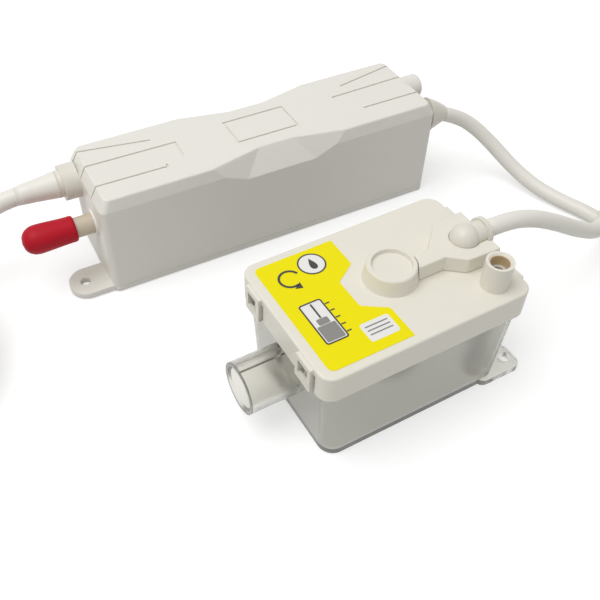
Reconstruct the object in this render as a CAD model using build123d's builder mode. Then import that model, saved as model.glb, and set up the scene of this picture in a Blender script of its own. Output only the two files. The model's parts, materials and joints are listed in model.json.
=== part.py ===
"""Condensate pump: a solenoid pump in a waisted cover, and its float reservoir.

Millimetres. The origin is the centre of the pump's base on the floor, +X runs along
the pump towards its suction end, +Y away from the reservoir and +Z up.
"""

import os
from math import cos, pi, radians, sin, tan

from build123d import *

os.makedirs("parts", exist_ok=True)

# ------------------------------------------------------------------ clearances
seat_gap = 0.05  # radial, between pieces pushed or turned together
rest_gap = 0.3  # between pieces that part from each other
along_x = (1, 0, 0)
along_y = (0, 1, 0)
up = (0, 0, 1)

# ------------------------------------------------------------------ pump case
case_l = 145.0  # cover length
case_w = 39.5  # cover width
case_h = 44.5  # top of the cover above the floor
case_r = 2.5  # rounding of the upright corners
case_edge = 0.8  # rounding of the cover's other edges
case_wall = 2.0
case_inner_r = 1.0  # rounding of the inner upright corners
base_t = 3.0  # base plate
bevel_drop = 4.8  # height of the bevel round the top
end_bevel = 2.5  # run of that bevel at the two ends
side_bevel = 1.4  # and along the two sides
waist_x = 1.0  # middle of the waist
waist_depth = 6.15  # how far the waist's top edge lies inside the side wall
waist_top_half = 7.2  # half length of the waist's top edge
waist_foot_half = 15.0  # half length of its foot on the side wall
waist_foot_z = 35.8
waist_flare = 4.565  # run along X of the flaring edges per millimetre across
waist_slope = 1.22  # shift across that moves the inclined facet in by one
groove_w = 0.8
groove_d = 0.6
window_l = 26.0  # engraved frame on the top, on its middle line
window_w = 14.4
lip_t = 1.2  # lip of the base plate inside the cover
lip_h = 2.0
lip_gap = 0.15

# engraved lines: distance from the cover's end, then Y
left_tracks = (
    ((-1.0, 15.3), (30.4, 9.5)),
    ((-1.0, 4.4), (38.5, 3.8), (38.2, -5.0)),
    ((-1.0, -8.7), (30.5, -9.2), (30.6, -7.6)),
)
right_tracks = (
    ((29.0, 9.8), (-1.0, 15.4)),
    ((36.5, 3.8), (-1.0, 4.9)),
    ((28.7, -8.5), (-1.0, -8.5)),
)

# ears at opposite corners of the base plate
ear_out = 15.5  # beyond the cover's end
ear_root = 10.0  # overlap with the plate
ear_w = 15.1
ear_r = 7.0
ear_y = 10.9
ear_hole_out = 9.2  # hole centre beyond the cover's end
ear_hole_r = 2.0

# cover screws, one in each corner
boss_r = 3.6
boss_h = 16.0
boss_bite = 0.4  # how far a boss runs into the walls
screw_r = 1.5
screw_head_r = 2.9
screw_head_h = 1.4
screw_l = 12.0

# ------------------------------------------------------------------ fittings in the end walls
gland_y = 11.5  # mains gland
gland_z = 34.8
gland_collar_r = 7.0
gland_collar_l = 6.3
gland_neck_r = 4.7
gland_tail_l = 11.2
gland_tail_r = 5.4
gland_tip_r = 4.2
gland_plate_t = 1.6
gland_plate_half = 5.1
gland_plate_up = 2.6
mains_d = 7.0
mains_inside = 6.0  # sheath inside the gland's plate

outlet_y = -5.5
outlet_z = 25.9
outlet_r = 3.95
outlet_bore_r = 2.5
outlet_out = 22.5  # beyond the cover's end
outlet_flange_r = 5.4
outlet_flange_t = 1.5
outlet_barb_in = 6.0  # inner spigot behind the end wall
barb_r = 2.15
barb_bore_r = 1.4
ring_r = 5.25  # raised ring round the outlet
ring_out = 0.8

cap_r = 5.3
cap_open = 7.7  # open end beyond the cover's end
cap_l = 20.1
cap_dome = 3.8
cap_tip_r = 3.3
cap_lip = 0.6
cap_swell = 0.4  # fullness of the domed end

inlet_y = 3.0
inlet_z = 39.2
sleeve_r = 5.0
sleeve_out = 5.8
sleeve_in = 4.5
sleeve_rim = 1.2
inlet_r = 3.0
inlet_bore_r = 1.6
inlet_recess = 0.8
elbow_in = 10.5  # elbow leg from the cover's end
elbow_drop = 10.0

signal_y = -13.5
signal_z = 33.8
hood_low = 27.0
hood_high = 43.5
hood_half = 5.4
hood_out = 8.0
hood_tip_r = 3.75
hood_tilt = 24.0  # the cable leaves this many degrees below level
sheath_back = 1.8  # inner sheath ends this far behind the hood's tip
hood_neck_r = 3.9
hood_plate_t = 1.4
hood_plate_half = 3.1
signal_d = 6.2
signal_inside = 7.0

# ------------------------------------------------------------------ solenoid pump
axis_z = 19.0
guide_half = 26.0  # half length of the guide tube
guide_r = 6.0
guide_bore_r = 5.0
bobbin_half = 14.0
bobbin_flange_t = 2.0
bobbin_flange_r = 13.0
bobbin_barrel_r = 7.5
winding_r = 12.2
yoke_t = 2.0
yoke_half = 14.0  # half width
yoke_strap_half = 9.0
head_r = 9.0
head_start = 21.0  # from the middle of the pump
head_end = 36.0
barb_end = 42.0
seal_x = 23.5
seal_r = 0.8
seal_groove = 0.35
saddle_x = 30.5
saddle_l = 8.0
saddle_half = 13.2
isolator_r = 12.0
isolator_l = 7.0

piston_x = -8.0  # delivery end of the piston at rest
piston_l = 22.0
piston_bore_r = 2.0
piston_spring_r = 3.9
piston_wire_r = 0.4
piston_spring_pitch = 2.6

seat_t = 1.5
seat_bore_r = 1.8
chamber_l = 6.5
chamber_r = 4.0
delivery_valve_r = 3.3
delivery_valve_t = 1.2
delivery_spring_r = 2.2
delivery_wire_r = 0.25
delivery_spring_pitch = 1.4
suction_valve_r = 3.2
suction_valve_t = 1.0

hose_r = 3.5
hose_gap = 1.0  # between the elbow's bend and the hose pushed up to it
lead_run = 4.0  # straight run of a lead at each of its ends
hose_lead = 5.5  # straight run of a hose past the end of its spigot

# ------------------------------------------------------------------ circuit board
board_l = 96.0
board_w = 30.0
board_t = 1.6
board_z = 34.0
board_hole_end = 4.0  # hole centres inside the board's ends
board_hole_side = 2.6  # and inside its long sides
post_r = 2.4
board_screw_r = 1.0
board_screw_head_r = 1.9
board_screw_l = 6.0
board_screw_head_h = 1.2
board_screw_tip = 1.0  # left free under the screw
board_edge = 1.0  # from the board's ends to the pieces beside them
terminal_l = 8.0
terminal_w = 12.0
terminal_h = 6.0
terminal_y = 2.0
fuse_r = 2.5
fuse_l = 20.0
capacitor_l = 13.0
capacitor_w = 6.0
capacitor_h = 5.8
chip_l = 10.0
chip_w = 4.0
chip_h = 1.6
chip_leads = 8
header_l = 5.0
header_w = 8.0
header_h = 4.6
core_r = 0.75

# ------------------------------------------------------------------ reservoir
tank_x = -0.95  # middle of the reservoir
tank_y = -95.28
tank_turn = 2.2  # degrees
lid_l = 78.5
lid_w = 54.1
lid_r = 5.0
lid_top = 43.9
lid_t = 2.0
lid_edge = 0.8
skirt_z = 33.4
skirt_t = 1.2
tank_taper = 2.3  # extra inset of the ends at the foot
tank_rim = 40.6
tank_wall = 1.5
tank_floor = 1.6
tank_foot_r = 5.5
tank_rim_r = 3.6
seal_w = 2.4

spigot_z = 20.0
spigot_out = 14.9  # beyond the lid's edge
spigot_r = 9.15
spigot_bore_r = 7.0
spigot_lead = 0.9
rib_w = 2.2
rib_h = 1.0

clip_y = 15.9
clip_w = 8.6
clip_out = 1.2
clip_low = 33.0
clip_high = 43.2
window_half = 2.7
window_low = 35.6
window_high = 41.2
slot_w = 1.1
hook_half = 2.2
hook_low = 37.6
hook_high = 40.0
hook_out = 1.0

flange_out = 6.4  # beyond the lid's edge
flange_root = 12.0
flange_w = 11.1
flange_t = 2.5
flange_r = 3.0
flange_side = 5.35  # its middle inside the lid's near side
flange_hole_out = 3.0
flange_hole_r = 2.1

disc_x = 1.75
disc_r = 9.3
disc_top_r = 8.3
disc_h = 6.0
dish_r = 6.8
dish_d = 1.5
disc_edge = 0.4  # bevel round the boss's top
dish_draft = 0.2

vent_end_in = 10.2  # nozzle's axis inside the lid's right end
vent_side_in = 8.3  # and inside its near side
vent_r = 4.6
vent_h = 10.3
vent_bore_r = 3.05
vent_lead = 0.7
pipe_r = 3.0
pipe_bore_r = 2.0
pipe_in = 6.0  # end of the pipe inside the vent, above the lid
pipe_low = 7.6
strainer_r = 3.8
strainer_low = 2.3
strainer_h = 7.7
strainer_t = 0.7
strainer_slots = 6
strainer_slot_w = 1.0

# sensor cover on the lid: neck from the disc, then a flare to the right edge
cover_neck_far = 0.15
cover_neck_near = -5.95
cover_near = ((18.75, -5.95), (24.45, -10.65), (37.25, -11.25))
cover_far = ((37.25, 10.15), (25.05, 9.55), (15.75, 0.15))
cover_draft = 2.0
cover_room = 0.2  # round the boss's tapering top

elbow_end_in = 9.5  # lid gland's middle inside the lid's right end
elbow_y = -1.3
elbow_z = 49.6
elbow_r = 5.0
elbow_tail_r = 4.2
elbow_tail_l = 6.25
collar_r = 5.0
collar_l = 1.75

stem_r = 4.0
stem_low = 5.0
stem_bore_r = 2.9
stem_wall_end = 1.6
clip_ring_z = 6.2
clip_ring_t = 1.0
clip_ring_r = 6.5
clip_groove_r = 3.3
float_r = 13.0
float_bore_r = 4.5
float_h = 14.0
float_edge = 1.5
magnet_in_r = 5.6
magnet_out_r = 8.4
magnet_h = 3.0
sensor_strip_w = 4.6
sensor_strip_t = 1.0
sensor_count = 3

# ------------------------------------------------------------------ free cords
# routes of the stretches that aren't coiled, each point chosen by hand
mains_route = (
    (-90.0, 11.5, 34.8),
    (-99.0, 11.5, 34.8),
    (-108.6, 11.2, 32.2),
    (-117.0, 11.6, 26.9),
    (-124.0, 12.6, 19.8),
    (-131.2, 14.2, 12.9),
    (-139.7, 16.9, 7.6),
    (-149.2, 20.7, 4.7),
    (-158.6, 22.5, 3.6),
)
sensor_route = (
    (80.5, -13.5, 33.8),
    (88.2, -13.5, 30.37),
    (96.6, -16.2, 25.2),
    (104.3, -23.0, 17.0),
    (110.0, -33.5, 8.8),
    (114.8, -45.5, 4.1),
    (120.0, -58.5, 3.1),
    (124.9, -69.0, 3.1),
    (127.6, -75.4, 3.1),
)
lid_route = (
    (36.85, -95.13, 49.6),
    (47.0, -94.74, 49.6),
    (58.5, -95.0, 46.6),
    (71.5, -95.2, 39.5),
    (85.5, -94.4, 29.9),
    (100.0, -92.6, 21.4),
    (113.0, -86.0, 17.2),
    (125.3, -75.9, 15.6),
)
mains_coil_x = -166.5
mains_coil_y = -25.0
sensor_coil_x = 161.0
sensor_coil_y = -98.0
coil_mid = 5.25  # radius of a coil's middle, in cord diameters
coil_columns = 2
coil_rows = 3
bare_sheath = 10.0  # inner sheath at the far end of the mains cable
bare_sheath_t = 0.6  # outer sheath stripped from it
bare_l = 26.0
bare_r = 1.2
bare_step = 2.3

# ------------------------------------------------------------------ worked out
end_x = case_l / 2
side_y = case_w / 2
inner_x = end_x - case_wall
inner_y = side_y - case_wall
boss_x = inner_x - boss_r + boss_bite
boss_y = inner_y - boss_r + boss_bite
boss_spots = [(sx * boss_x, sy * boss_y) for sx in (-1, 1) for sy in (-1, 1)]
board_top = board_z + board_t
board_hole_x = board_l / 2 - board_hole_end
board_hole_y = board_w / 2 - board_hole_side
tank_inset = skirt_t + rest_gap
lid_under = lid_top - lid_t
disc_top = lid_top + disc_h
vent_x = lid_l / 2 - vent_end_in
vent_y = vent_side_in - lid_w / 2
elbow_x = lid_l / 2 - elbow_end_in
flange_y = flange_side - lid_w / 2
tank_end_x = lid_l / 2 - tank_inset
clip_ring_top = clip_ring_z + clip_ring_t
float_low = clip_ring_top + rest_gap
piston_back = piston_x + piston_l
turn = radians(tank_turn)
tank = Plane((tank_x, tank_y, 0), x_dir=(cos(turn), sin(turn), 0), z_dir=up)


def tank_point(x, y, z):
    """Place in the reservoir's own axes, given in the part's."""
    return tank.from_local_coords(Vector(x, y, z))


def tank_end(x):
    """Upright plane across the reservoir at its own x, looking along it."""
    return Plane(tank_point(x, 0, 0), x_dir=tank.y_dir, z_dir=tank.x_dir)


def turned(origin, direction, profile):
    """Solid turned about an axis; the profile gives (distance along it, radius)."""
    flat = Vector(*direction)
    normal = Vector(0, 0, 1) if abs(flat.Z) < 0.5 else Vector(0, 1, 0)
    with BuildPart() as solid:
        with BuildSketch(Plane(origin, x_dir=direction, z_dir=normal)):
            with BuildLine():
                Polyline(*profile, close=True)
            make_face()
        revolve(axis=Axis(origin, direction))
    return solid.part


def tube(length, outer, inner):
    """Profile of a plain tube for turned()."""
    return ((0, inner), (0, outer), (length, outer), (length, inner))


def bend_radii(points):
    """The largest arc that each corner's two runs allow."""
    radii = []
    for before, corner, after in zip(points, points[1:], points[2:]):
        run_in = Vector(*corner) - Vector(*before)
        run_out = Vector(*after) - Vector(*corner)
        bend = radians(run_in.get_angle(run_out))
        radii.append(0.45 * min(run_in.length, run_out.length) / tan(bend / 2))
    return radii


def swept(points, outer, inner=0.0):
    """Round bar, or a hose where it has a bore, along runs joined by tangent arcs."""
    with BuildPart() as bar:
        with BuildLine():
            line = FilletPolyline(*points, radius=bend_radii(points))
        with BuildSketch(Plane(origin=line @ 0, z_dir=line % 0)):
            Circle(outer)
            if inner > 0:
                Circle(inner, mode=Mode.SUBTRACT)
        sweep()
    return bar.part


def spring(origin, length, mid_r, wire_r, pitch):
    """Helical spring along +X from its origin."""
    start = Vector(*origin) + Vector(wire_r, 0, 0)
    with BuildPart() as coil:
        with BuildLine():
            wire = Helix(pitch, length - 2 * wire_r, mid_r, center=start, direction=along_x)
        with BuildSketch(Plane(origin=wire @ 0, z_dir=wire % 0)):
            Circle(wire_r)
        sweep(is_frenet=True)
    return coil.part


def finish(part, name):
    """Labels a finished sub-part and writes its STEP file."""
    part.label = name
    export_step(part, f"parts/{name}.step")


# ------------------------------------------------------------------ cover of the pump
def waist_cutters(inset):
    """Both waist cuts: an inclined facet between two flaring ones, moved in by inset."""
    out_y = side_y + waist_depth
    shift = waist_slope * inset
    with BuildPart() as cutter:
        for z in (waist_foot_z - case_wall, case_h + case_wall):
            rise = (z - waist_foot_z) / (case_h - waist_foot_z)
            half = waist_foot_half + rise * (waist_top_half - waist_foot_half)
            edge = side_y - rise * waist_depth
            wide = half + (out_y - edge) * waist_flare
            with BuildSketch(Plane.XY.offset(z)):
                with BuildLine():
                    Polyline(
                        (waist_x - half, edge - shift),
                        (waist_x + half, edge - shift),
                        (waist_x + wide, out_y - shift),
                        (waist_x - wide, out_y - shift),
                        close=True,
                    )
                make_face()
        loft(ruled=True)
        mirror(about=Plane.XZ)
    return cutter.part


def case_form(inset, round_r):
    """The cover's closed form above the base plate, every face moved in by inset."""
    top_z = case_h - inset
    length = case_l - 2 * inset
    width = case_w - 2 * inset
    with BuildPart() as form:
        with BuildSketch(Plane.XY.offset(base_t)):
            RectangleRounded(length, width, round_r)
        extrude(amount=top_z - bevel_drop - base_t)
        with BuildSketch(Plane.XY.offset(top_z - bevel_drop)):
            RectangleRounded(length, width, round_r)
        with BuildSketch(Plane.XY.offset(top_z)):
            RectangleRounded(length - 2 * end_bevel, width - 2 * side_bevel, round_r)
        loft(ruled=True)
        add(waist_cutters(inset), mode=Mode.SUBTRACT)
    return form.part


with BuildPart() as grooves:
    with BuildSketch(Plane.XY.offset(case_h - bevel_drop - groove_d)):
        for side, tracks in ((-1, left_tracks), (1, right_tracks)):
            for track in tracks:
                with BuildLine():
                    Polyline(*[(side * (end_x - along), across) for along, across in track])
                trace(line_width=groove_w)
        with Locations((waist_x, 0)):
            Rectangle(window_l + groove_w, window_w + groove_w)
            Rectangle(window_l - groove_w, window_w - groove_w, mode=Mode.SUBTRACT)
    extrude(amount=bevel_drop + 2 * groove_d)
    add(case_form(groove_d, case_r - groove_d), mode=Mode.SUBTRACT)

with BuildPart() as casing:
    add(case_form(0, case_r))
    fillet(casing.edges().filter_by(lambda edge: edge.center().Z > base_t + case_edge), case_edge)
    add(grooves.part, mode=Mode.SUBTRACT)
    # inlet sleeve, flush with the top, and the raised ring of the outlet
    with BuildSketch(Plane.YZ.offset(inner_x - sleeve_in + case_wall)):
        with Locations((inlet_y, inlet_z)):
            Circle(sleeve_r)
    extrude(amount=sleeve_in + sleeve_out)
    fillet(casing.edges().filter_by(GeomType.CIRCLE).sort_by(Axis.X)[-1], sleeve_rim)
    with BuildSketch(Plane.YZ.offset(-end_x - ring_out)):
        with Locations((outlet_y, outlet_z)):
            Circle(ring_r)
    extrude(amount=ring_out + case_wall)
    # hollow, with a screw boss in each corner
    with BuildPart(mode=Mode.PRIVATE) as cavity:
        add(case_form(case_wall, case_inner_r))
        with BuildSketch(Plane.XY.offset(base_t)):
            with Locations(*boss_spots):
                Circle(boss_r)
        extrude(amount=boss_h, mode=Mode.SUBTRACT)
        with BuildSketch(Plane.YZ.offset(end_x - sleeve_in)):
            with Locations((inlet_y, inlet_z)):
                Circle(sleeve_r)
        extrude(amount=sleeve_in, mode=Mode.SUBTRACT)
    add(cavity.part, mode=Mode.SUBTRACT)
    with BuildSketch(Plane.XY.offset(base_t)):
        with Locations(*boss_spots):
            Circle(screw_r + seat_gap)
    extrude(amount=screw_l, mode=Mode.SUBTRACT)
    # holes in the end walls
    with BuildSketch(Plane.YZ.offset(-end_x - ring_out)):
        with Locations((gland_y, gland_z)):
            Circle(gland_neck_r + seat_gap)
        with Locations((outlet_y, outlet_z)):
            Circle(outlet_r + seat_gap)
    extrude(amount=ring_out + case_wall + end_bevel, mode=Mode.SUBTRACT)
    with BuildSketch(Plane.YZ.offset(end_x - sleeve_in)):
        with Locations((inlet_y, inlet_z)):
            Circle(inlet_r + seat_gap)
    extrude(amount=sleeve_in + sleeve_out, mode=Mode.SUBTRACT)
    with BuildSketch(Plane.YZ.offset(inner_x)):
        with Locations((signal_y, signal_z)):
            Circle(hood_neck_r + seat_gap)
    extrude(amount=case_wall, mode=Mode.SUBTRACT)
finish(casing.part, "casing")

# ------------------------------------------------------------------ base plate
with BuildPart() as base_plate:
    with BuildSketch():
        RectangleRounded(case_l, case_w, case_r)
        for side in (-1, 1):
            with Locations((side * (end_x + (ear_out - ear_root) / 2), side * ear_y)):
                RectangleRounded(ear_out + ear_root, ear_w, ear_r)
            with Locations((side * (end_x + ear_hole_out), side * ear_y)):
                Circle(ear_hole_r, mode=Mode.SUBTRACT)
    extrude(amount=base_t)
    with BuildSketch(Plane.XY.offset(base_t)):
        RectangleRounded(2 * (inner_x - lip_gap), 2 * (inner_y - lip_gap), case_inner_r)
        RectangleRounded(
            2 * (inner_x - lip_gap - lip_t),
            2 * (inner_y - lip_gap - lip_t),
            case_inner_r,
            mode=Mode.SUBTRACT,
        )
        with Locations(*boss_spots):
            Circle(boss_r + lip_gap, mode=Mode.SUBTRACT)
    extrude(amount=lip_h)
    # saddles of the isolators
    for side in (-1, 1):
        with BuildSketch(Plane.YZ.offset(side * saddle_x - saddle_l / 2)):
            with Locations((0, (base_t + axis_z) / 2)):
                Rectangle(2 * saddle_half, axis_z - base_t)
            with Locations((0, axis_z)):
                Circle(isolator_r + seat_gap, mode=Mode.SUBTRACT)
        extrude(amount=saddle_l)
    # posts of the circuit board
    with BuildSketch(Plane.XY.offset(base_t)):
        with GridLocations(2 * board_hole_x, 2 * board_hole_y, 2, 2):
            Circle(post_r)
    extrude(amount=board_z - base_t)
    with BuildSketch(Plane.XY.offset(board_z)):
        with GridLocations(2 * board_hole_x, 2 * board_hole_y, 2, 2):
            Circle(board_screw_r + seat_gap)
    extrude(amount=-board_screw_l, mode=Mode.SUBTRACT)
    # countersunk screw holes from below
    for x, y in boss_spots:
        add(
            turned(
                (x, y, 0),
                up,
                (
                    (0, 0),
                    (0, screw_head_r + seat_gap),
                    (screw_head_h, screw_r + seat_gap),
                    (base_t, screw_r + seat_gap),
                    (base_t, 0),
                ),
            ),
            mode=Mode.SUBTRACT,
        )
finish(base_plate.part, "base_plate")

with BuildPart() as casing_screws:
    for x, y in boss_spots:
        screw_profile = (
            (0, 0),
            (0, screw_head_r),
            (screw_head_h, screw_r),
            (screw_l, screw_r),
            (screw_l, 0),
        )
        add(turned((x, y, 0), up, screw_profile))
finish(casing_screws.part, "casing_screws")

# ------------------------------------------------------------------ mains gland
with BuildPart() as mains_gland:
    gland_end = gland_collar_l + gland_tail_l
    add(
        turned(
            (-end_x, gland_y, gland_z),
            (-1, 0, 0),
            (
                (-case_wall, mains_d / 2 + seat_gap),
                (-case_wall, gland_neck_r),
                (0, gland_neck_r),
                (0, gland_collar_r),
                (gland_collar_l, gland_collar_r),
                (gland_collar_l, gland_tail_r),
                (gland_end, gland_tip_r),
                (gland_end, mains_d / 2 + seat_gap),
            ),
        )
    )
    # lock plate behind the wall, flat on top to clear the bevel
    with BuildSketch(Plane.YZ.offset(-inner_x)):
        with Locations((gland_y, gland_z + (gland_plate_up - gland_plate_half) / 2)):
            Rectangle(2 * gland_plate_half, gland_plate_up + gland_plate_half)
        with Locations((gland_y, gland_z)):
            Circle(mains_d / 2 + seat_gap, mode=Mode.SUBTRACT)
    extrude(amount=gland_plate_t)
finish(mains_gland.part, "mains_gland")

# ------------------------------------------------------------------ outlet nozzle and cap
with BuildPart() as outlet_nozzle:
    barb_reach = case_wall + outlet_flange_t + outlet_barb_in
    add(
        turned(
            (-end_x, outlet_y, outlet_z),
            (-1, 0, 0),
            (
                (-barb_reach, barb_bore_r),
                (-barb_reach, barb_r),
                (-case_wall - outlet_flange_t, barb_r),
                (-case_wall - outlet_flange_t, outlet_flange_r),
                (-case_wall, outlet_flange_r),
                (-case_wall, outlet_r),
                (outlet_out, outlet_r),
                (outlet_out, outlet_bore_r),
                (-case_wall, outlet_bore_r),
                (-case_wall, barb_bore_r),
            ),
        )
    )
finish(outlet_nozzle.part, "outlet_nozzle")

with BuildPart() as outlet_cap:
    add(
        turned(
            (-end_x - cap_open, outlet_y, outlet_z),
            (-1, 0, 0),
            (
                (0, outlet_r + seat_gap),
                (0, cap_r - seat_gap),
                (cap_lip, cap_r),
                (cap_l - cap_dome, cap_r),
                (cap_l - cap_dome / 3, (cap_r + cap_tip_r) / 2 + cap_swell),
                (cap_l, cap_tip_r),
                (cap_l, 0),
                (outlet_out - cap_open + rest_gap, 0),
                (outlet_out - cap_open + rest_gap, outlet_r + seat_gap),
            ),
        )
    )
finish(outlet_cap.part, "outlet_cap")

# ------------------------------------------------------------------ inlet nozzle
elbow_x_in = end_x - elbow_in
with BuildPart() as inlet_nozzle:
    with BuildSketch(Plane.YZ.offset(elbow_x_in)):
        with Locations((inlet_y, inlet_z)):
            Circle(inlet_r)
    extrude(amount=elbow_in + sleeve_out - inlet_recess)
    with Locations((elbow_x_in, inlet_y, inlet_z)):
        Sphere(inlet_r)
    with BuildSketch(Plane.XY.offset(inlet_z - elbow_drop)):
        with Locations((elbow_x_in, inlet_y)):
            Circle(barb_r)
    extrude(amount=elbow_drop)
    with BuildSketch(Plane.XY.offset(inlet_z - elbow_drop)):
        with Locations((elbow_x_in, inlet_y)):
            Circle(barb_bore_r)
    extrude(amount=elbow_drop, mode=Mode.SUBTRACT)
    with BuildSketch(Plane.YZ.offset(elbow_x_in)):
        with Locations((inlet_y, inlet_z)):
            Circle(inlet_bore_r)
    extrude(amount=elbow_in + sleeve_out, mode=Mode.SUBTRACT)
finish(inlet_nozzle.part, "inlet_nozzle")

# ------------------------------------------------------------------ signal gland
with BuildPart() as signal_gland:
    # hood outside: tall and flat at the wall, round where the cable leaves
    hood_mid = (hood_low + hood_high) / 2
    tilt = radians(hood_tilt)
    with BuildSketch(Plane.YZ.offset(end_x)):
        with Locations((signal_y, hood_mid)):
            Ellipse(hood_half, (hood_high - hood_low) / 2)
    for share in (0.5, 1.0):
        middle_z = hood_mid + share * (signal_z - hood_mid)
        lean = (cos(share * tilt), 0, -sin(share * tilt))
        half_y = hood_half + share * (hood_tip_r - hood_half)
        half_z = (hood_high - hood_low) / 2 * (1 - share) + hood_tip_r * share
        tip = Plane((end_x + share * hood_out, signal_y, middle_z), x_dir=along_y, z_dir=lean)
        with BuildSketch(tip):
            Ellipse(half_y, half_z)
    loft()
    # neck through the wall and lock plate behind it
    with BuildSketch(Plane.YZ.offset(inner_x)):
        with Locations((signal_y, signal_z)):
            Circle(hood_neck_r)
    extrude(amount=case_wall)
    with BuildSketch(Plane.YZ.offset(inner_x - hood_plate_t)):
        with Locations((signal_y, signal_z - hood_neck_r / 2)):
            Rectangle(2 * hood_plate_half, 2 * hood_plate_half + hood_neck_r)
    extrude(amount=hood_plate_t)
    with BuildSketch(Plane.YZ.offset(inner_x - hood_plate_t)):
        with Locations((signal_y, signal_z)):
            Circle(signal_d / 2 + seat_gap)
    extrude(amount=hood_plate_t + case_wall + hood_out + hood_tip_r, mode=Mode.SUBTRACT)
finish(signal_gland.part, "signal_gland")

# ------------------------------------------------------------------ solenoid
with BuildPart() as guide_tube:
    add(turned((-guide_half, 0, axis_z), along_x, tube(2 * guide_half, guide_r, guide_bore_r)))
finish(guide_tube.part, "guide_tube")

with BuildPart() as coil_bobbin:
    flange_x = bobbin_half - bobbin_flange_t
    add(
        turned(
            (0, 0, axis_z),
            along_x,
            (
                (-bobbin_half, guide_r + seat_gap),
                (-bobbin_half, bobbin_flange_r),
                (-flange_x, bobbin_flange_r),
                (-flange_x, bobbin_barrel_r),
                (flange_x, bobbin_barrel_r),
                (flange_x, bobbin_flange_r),
                (bobbin_half, bobbin_flange_r),
                (bobbin_half, guide_r + seat_gap),
            ),
        )
    )
finish(coil_bobbin.part, "coil_bobbin")

with BuildPart() as coil_winding:
    winding_half = flange_x - seat_gap
    profile = tube(2 * winding_half, winding_r, bobbin_barrel_r + seat_gap)
    add(turned((-winding_half, 0, axis_z), along_x, profile))
finish(coil_winding.part, "coil_winding")

with BuildPart() as coil_yoke:
    yoke_x = bobbin_half + seat_gap
    strap_top = axis_z - bobbin_flange_r - seat_gap
    yoke_h = bobbin_flange_r + axis_z - strap_top
    with BuildSketch(Plane.YZ):
        with Locations((0, strap_top + yoke_h / 2)):
            Rectangle(2 * yoke_half, yoke_h)
        with Locations((0, axis_z)):
            Circle(guide_r + seat_gap, mode=Mode.SUBTRACT)
    extrude(amount=yoke_x + yoke_t, both=True)
    with BuildSketch(Plane.YZ):
        with Locations((0, strap_top + yoke_h / 2)):
            Rectangle(2 * yoke_half, yoke_h)
    extrude(amount=yoke_x, both=True, mode=Mode.SUBTRACT)
    with BuildSketch(Plane.XY.offset(strap_top - yoke_t)):
        Rectangle(2 * (yoke_x + yoke_t), 2 * yoke_strap_half)
    extrude(amount=yoke_t)
finish(coil_yoke.part, "coil_yoke")

# ------------------------------------------------------------------ heads and valves
guide_seat_r = guide_r + seat_gap
groove_x = seal_r + seat_gap
groove_r = guide_r + 2 * seal_r + seal_groove / 2
chamber_start = guide_half + seat_t
with BuildPart() as delivery_head:
    add(
        turned(
            (0, 0, axis_z),
            (-1, 0, 0),
            (
                (head_start, guide_seat_r),
                (head_start, head_r),
                (head_end, head_r),
                (head_end, barb_r),
                (barb_end, barb_r),
                (barb_end, barb_bore_r),
                (chamber_start + chamber_l, barb_bore_r),
                (chamber_start + chamber_l, chamber_r),
                (chamber_start, chamber_r),
                (chamber_start, guide_seat_r),
                (seal_x + groove_x, guide_seat_r),
                (seal_x + groove_x, groove_r),
                (seal_x - groove_x, groove_r),
                (seal_x - groove_x, guide_seat_r),
            ),
        )
    )
finish(delivery_head.part, "delivery_head")

with BuildPart() as suction_head:
    add(
        turned(
            (0, 0, axis_z),
            along_x,
            (
                (head_start, guide_seat_r),
                (head_start, head_r),
                (head_end, head_r),
                (head_end, barb_r),
                (barb_end, barb_r),
                (barb_end, barb_bore_r),
                (guide_half, barb_bore_r),
                (guide_half, guide_seat_r),
                (seal_x + groove_x, guide_seat_r),
                (seal_x + groove_x, groove_r),
                (seal_x - groove_x, groove_r),
                (seal_x - groove_x, guide_seat_r),
            ),
        )
    )
finish(suction_head.part, "suction_head")

with BuildPart() as head_seals:
    for side in (-1, 1):
        with Locations(Location((side * seal_x, 0, axis_z), (0, 90, 0))):
            Torus(guide_r + seal_r + seat_gap, seal_r)
finish(head_seals.part, "head_seals")

with BuildPart() as valve_seat:
    add(turned((-guide_half, 0, axis_z), (-1, 0, 0), tube(seat_t, guide_r, seat_bore_r)))
finish(valve_seat.part, "valve_seat")

with BuildPart() as delivery_valve:
    valve_x = chamber_start + rest_gap
    profile = (
        (0, 0),
        (0, delivery_valve_r),
        (delivery_valve_t, delivery_valve_r),
        (delivery_valve_t, 0),
    )
    add(turned((-valve_x, 0, axis_z), (-1, 0, 0), profile))
finish(delivery_valve.part, "delivery_valve")

with BuildPart() as delivery_spring:
    spring_room = chamber_start + chamber_l - valve_x - delivery_valve_t - rest_gap
    add(
        spring(
            (-chamber_start - chamber_l, 0, axis_z),
            spring_room,
            delivery_spring_r,
            delivery_wire_r,
            delivery_spring_pitch,
        )
    )
finish(delivery_spring.part, "delivery_spring")

with BuildPart() as piston:
    add(
        turned(
            (piston_x, 0, axis_z),
            along_x,
            tube(piston_l, guide_bore_r - seat_gap, piston_bore_r),
        )
    )
    chamfer(piston.edges().group_by(Axis.X)[0].sort_by(SortBy.LENGTH)[-1], 4 * seat_gap)
    chamfer(piston.edges().group_by(Axis.X)[-1].sort_by(SortBy.LENGTH)[-1], 4 * seat_gap)
finish(piston.part, "piston")

with BuildPart() as piston_spring:
    spring_start = piston_back + rest_gap
    add(
        spring(
            (spring_start, 0, axis_z),
            guide_half - spring_start,
            piston_spring_r,
            piston_wire_r,
            piston_spring_pitch,
        )
    )
finish(piston_spring.part, "piston_spring")

with BuildPart() as suction_valve:
    profile = (
        (0, 0),
        (0, suction_valve_r),
        (suction_valve_t, suction_valve_r),
        (suction_valve_t, 0),
    )
    add(turned((piston_x - rest_gap, 0, axis_z), (-1, 0, 0), profile))
finish(suction_valve.part, "suction_valve")

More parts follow.
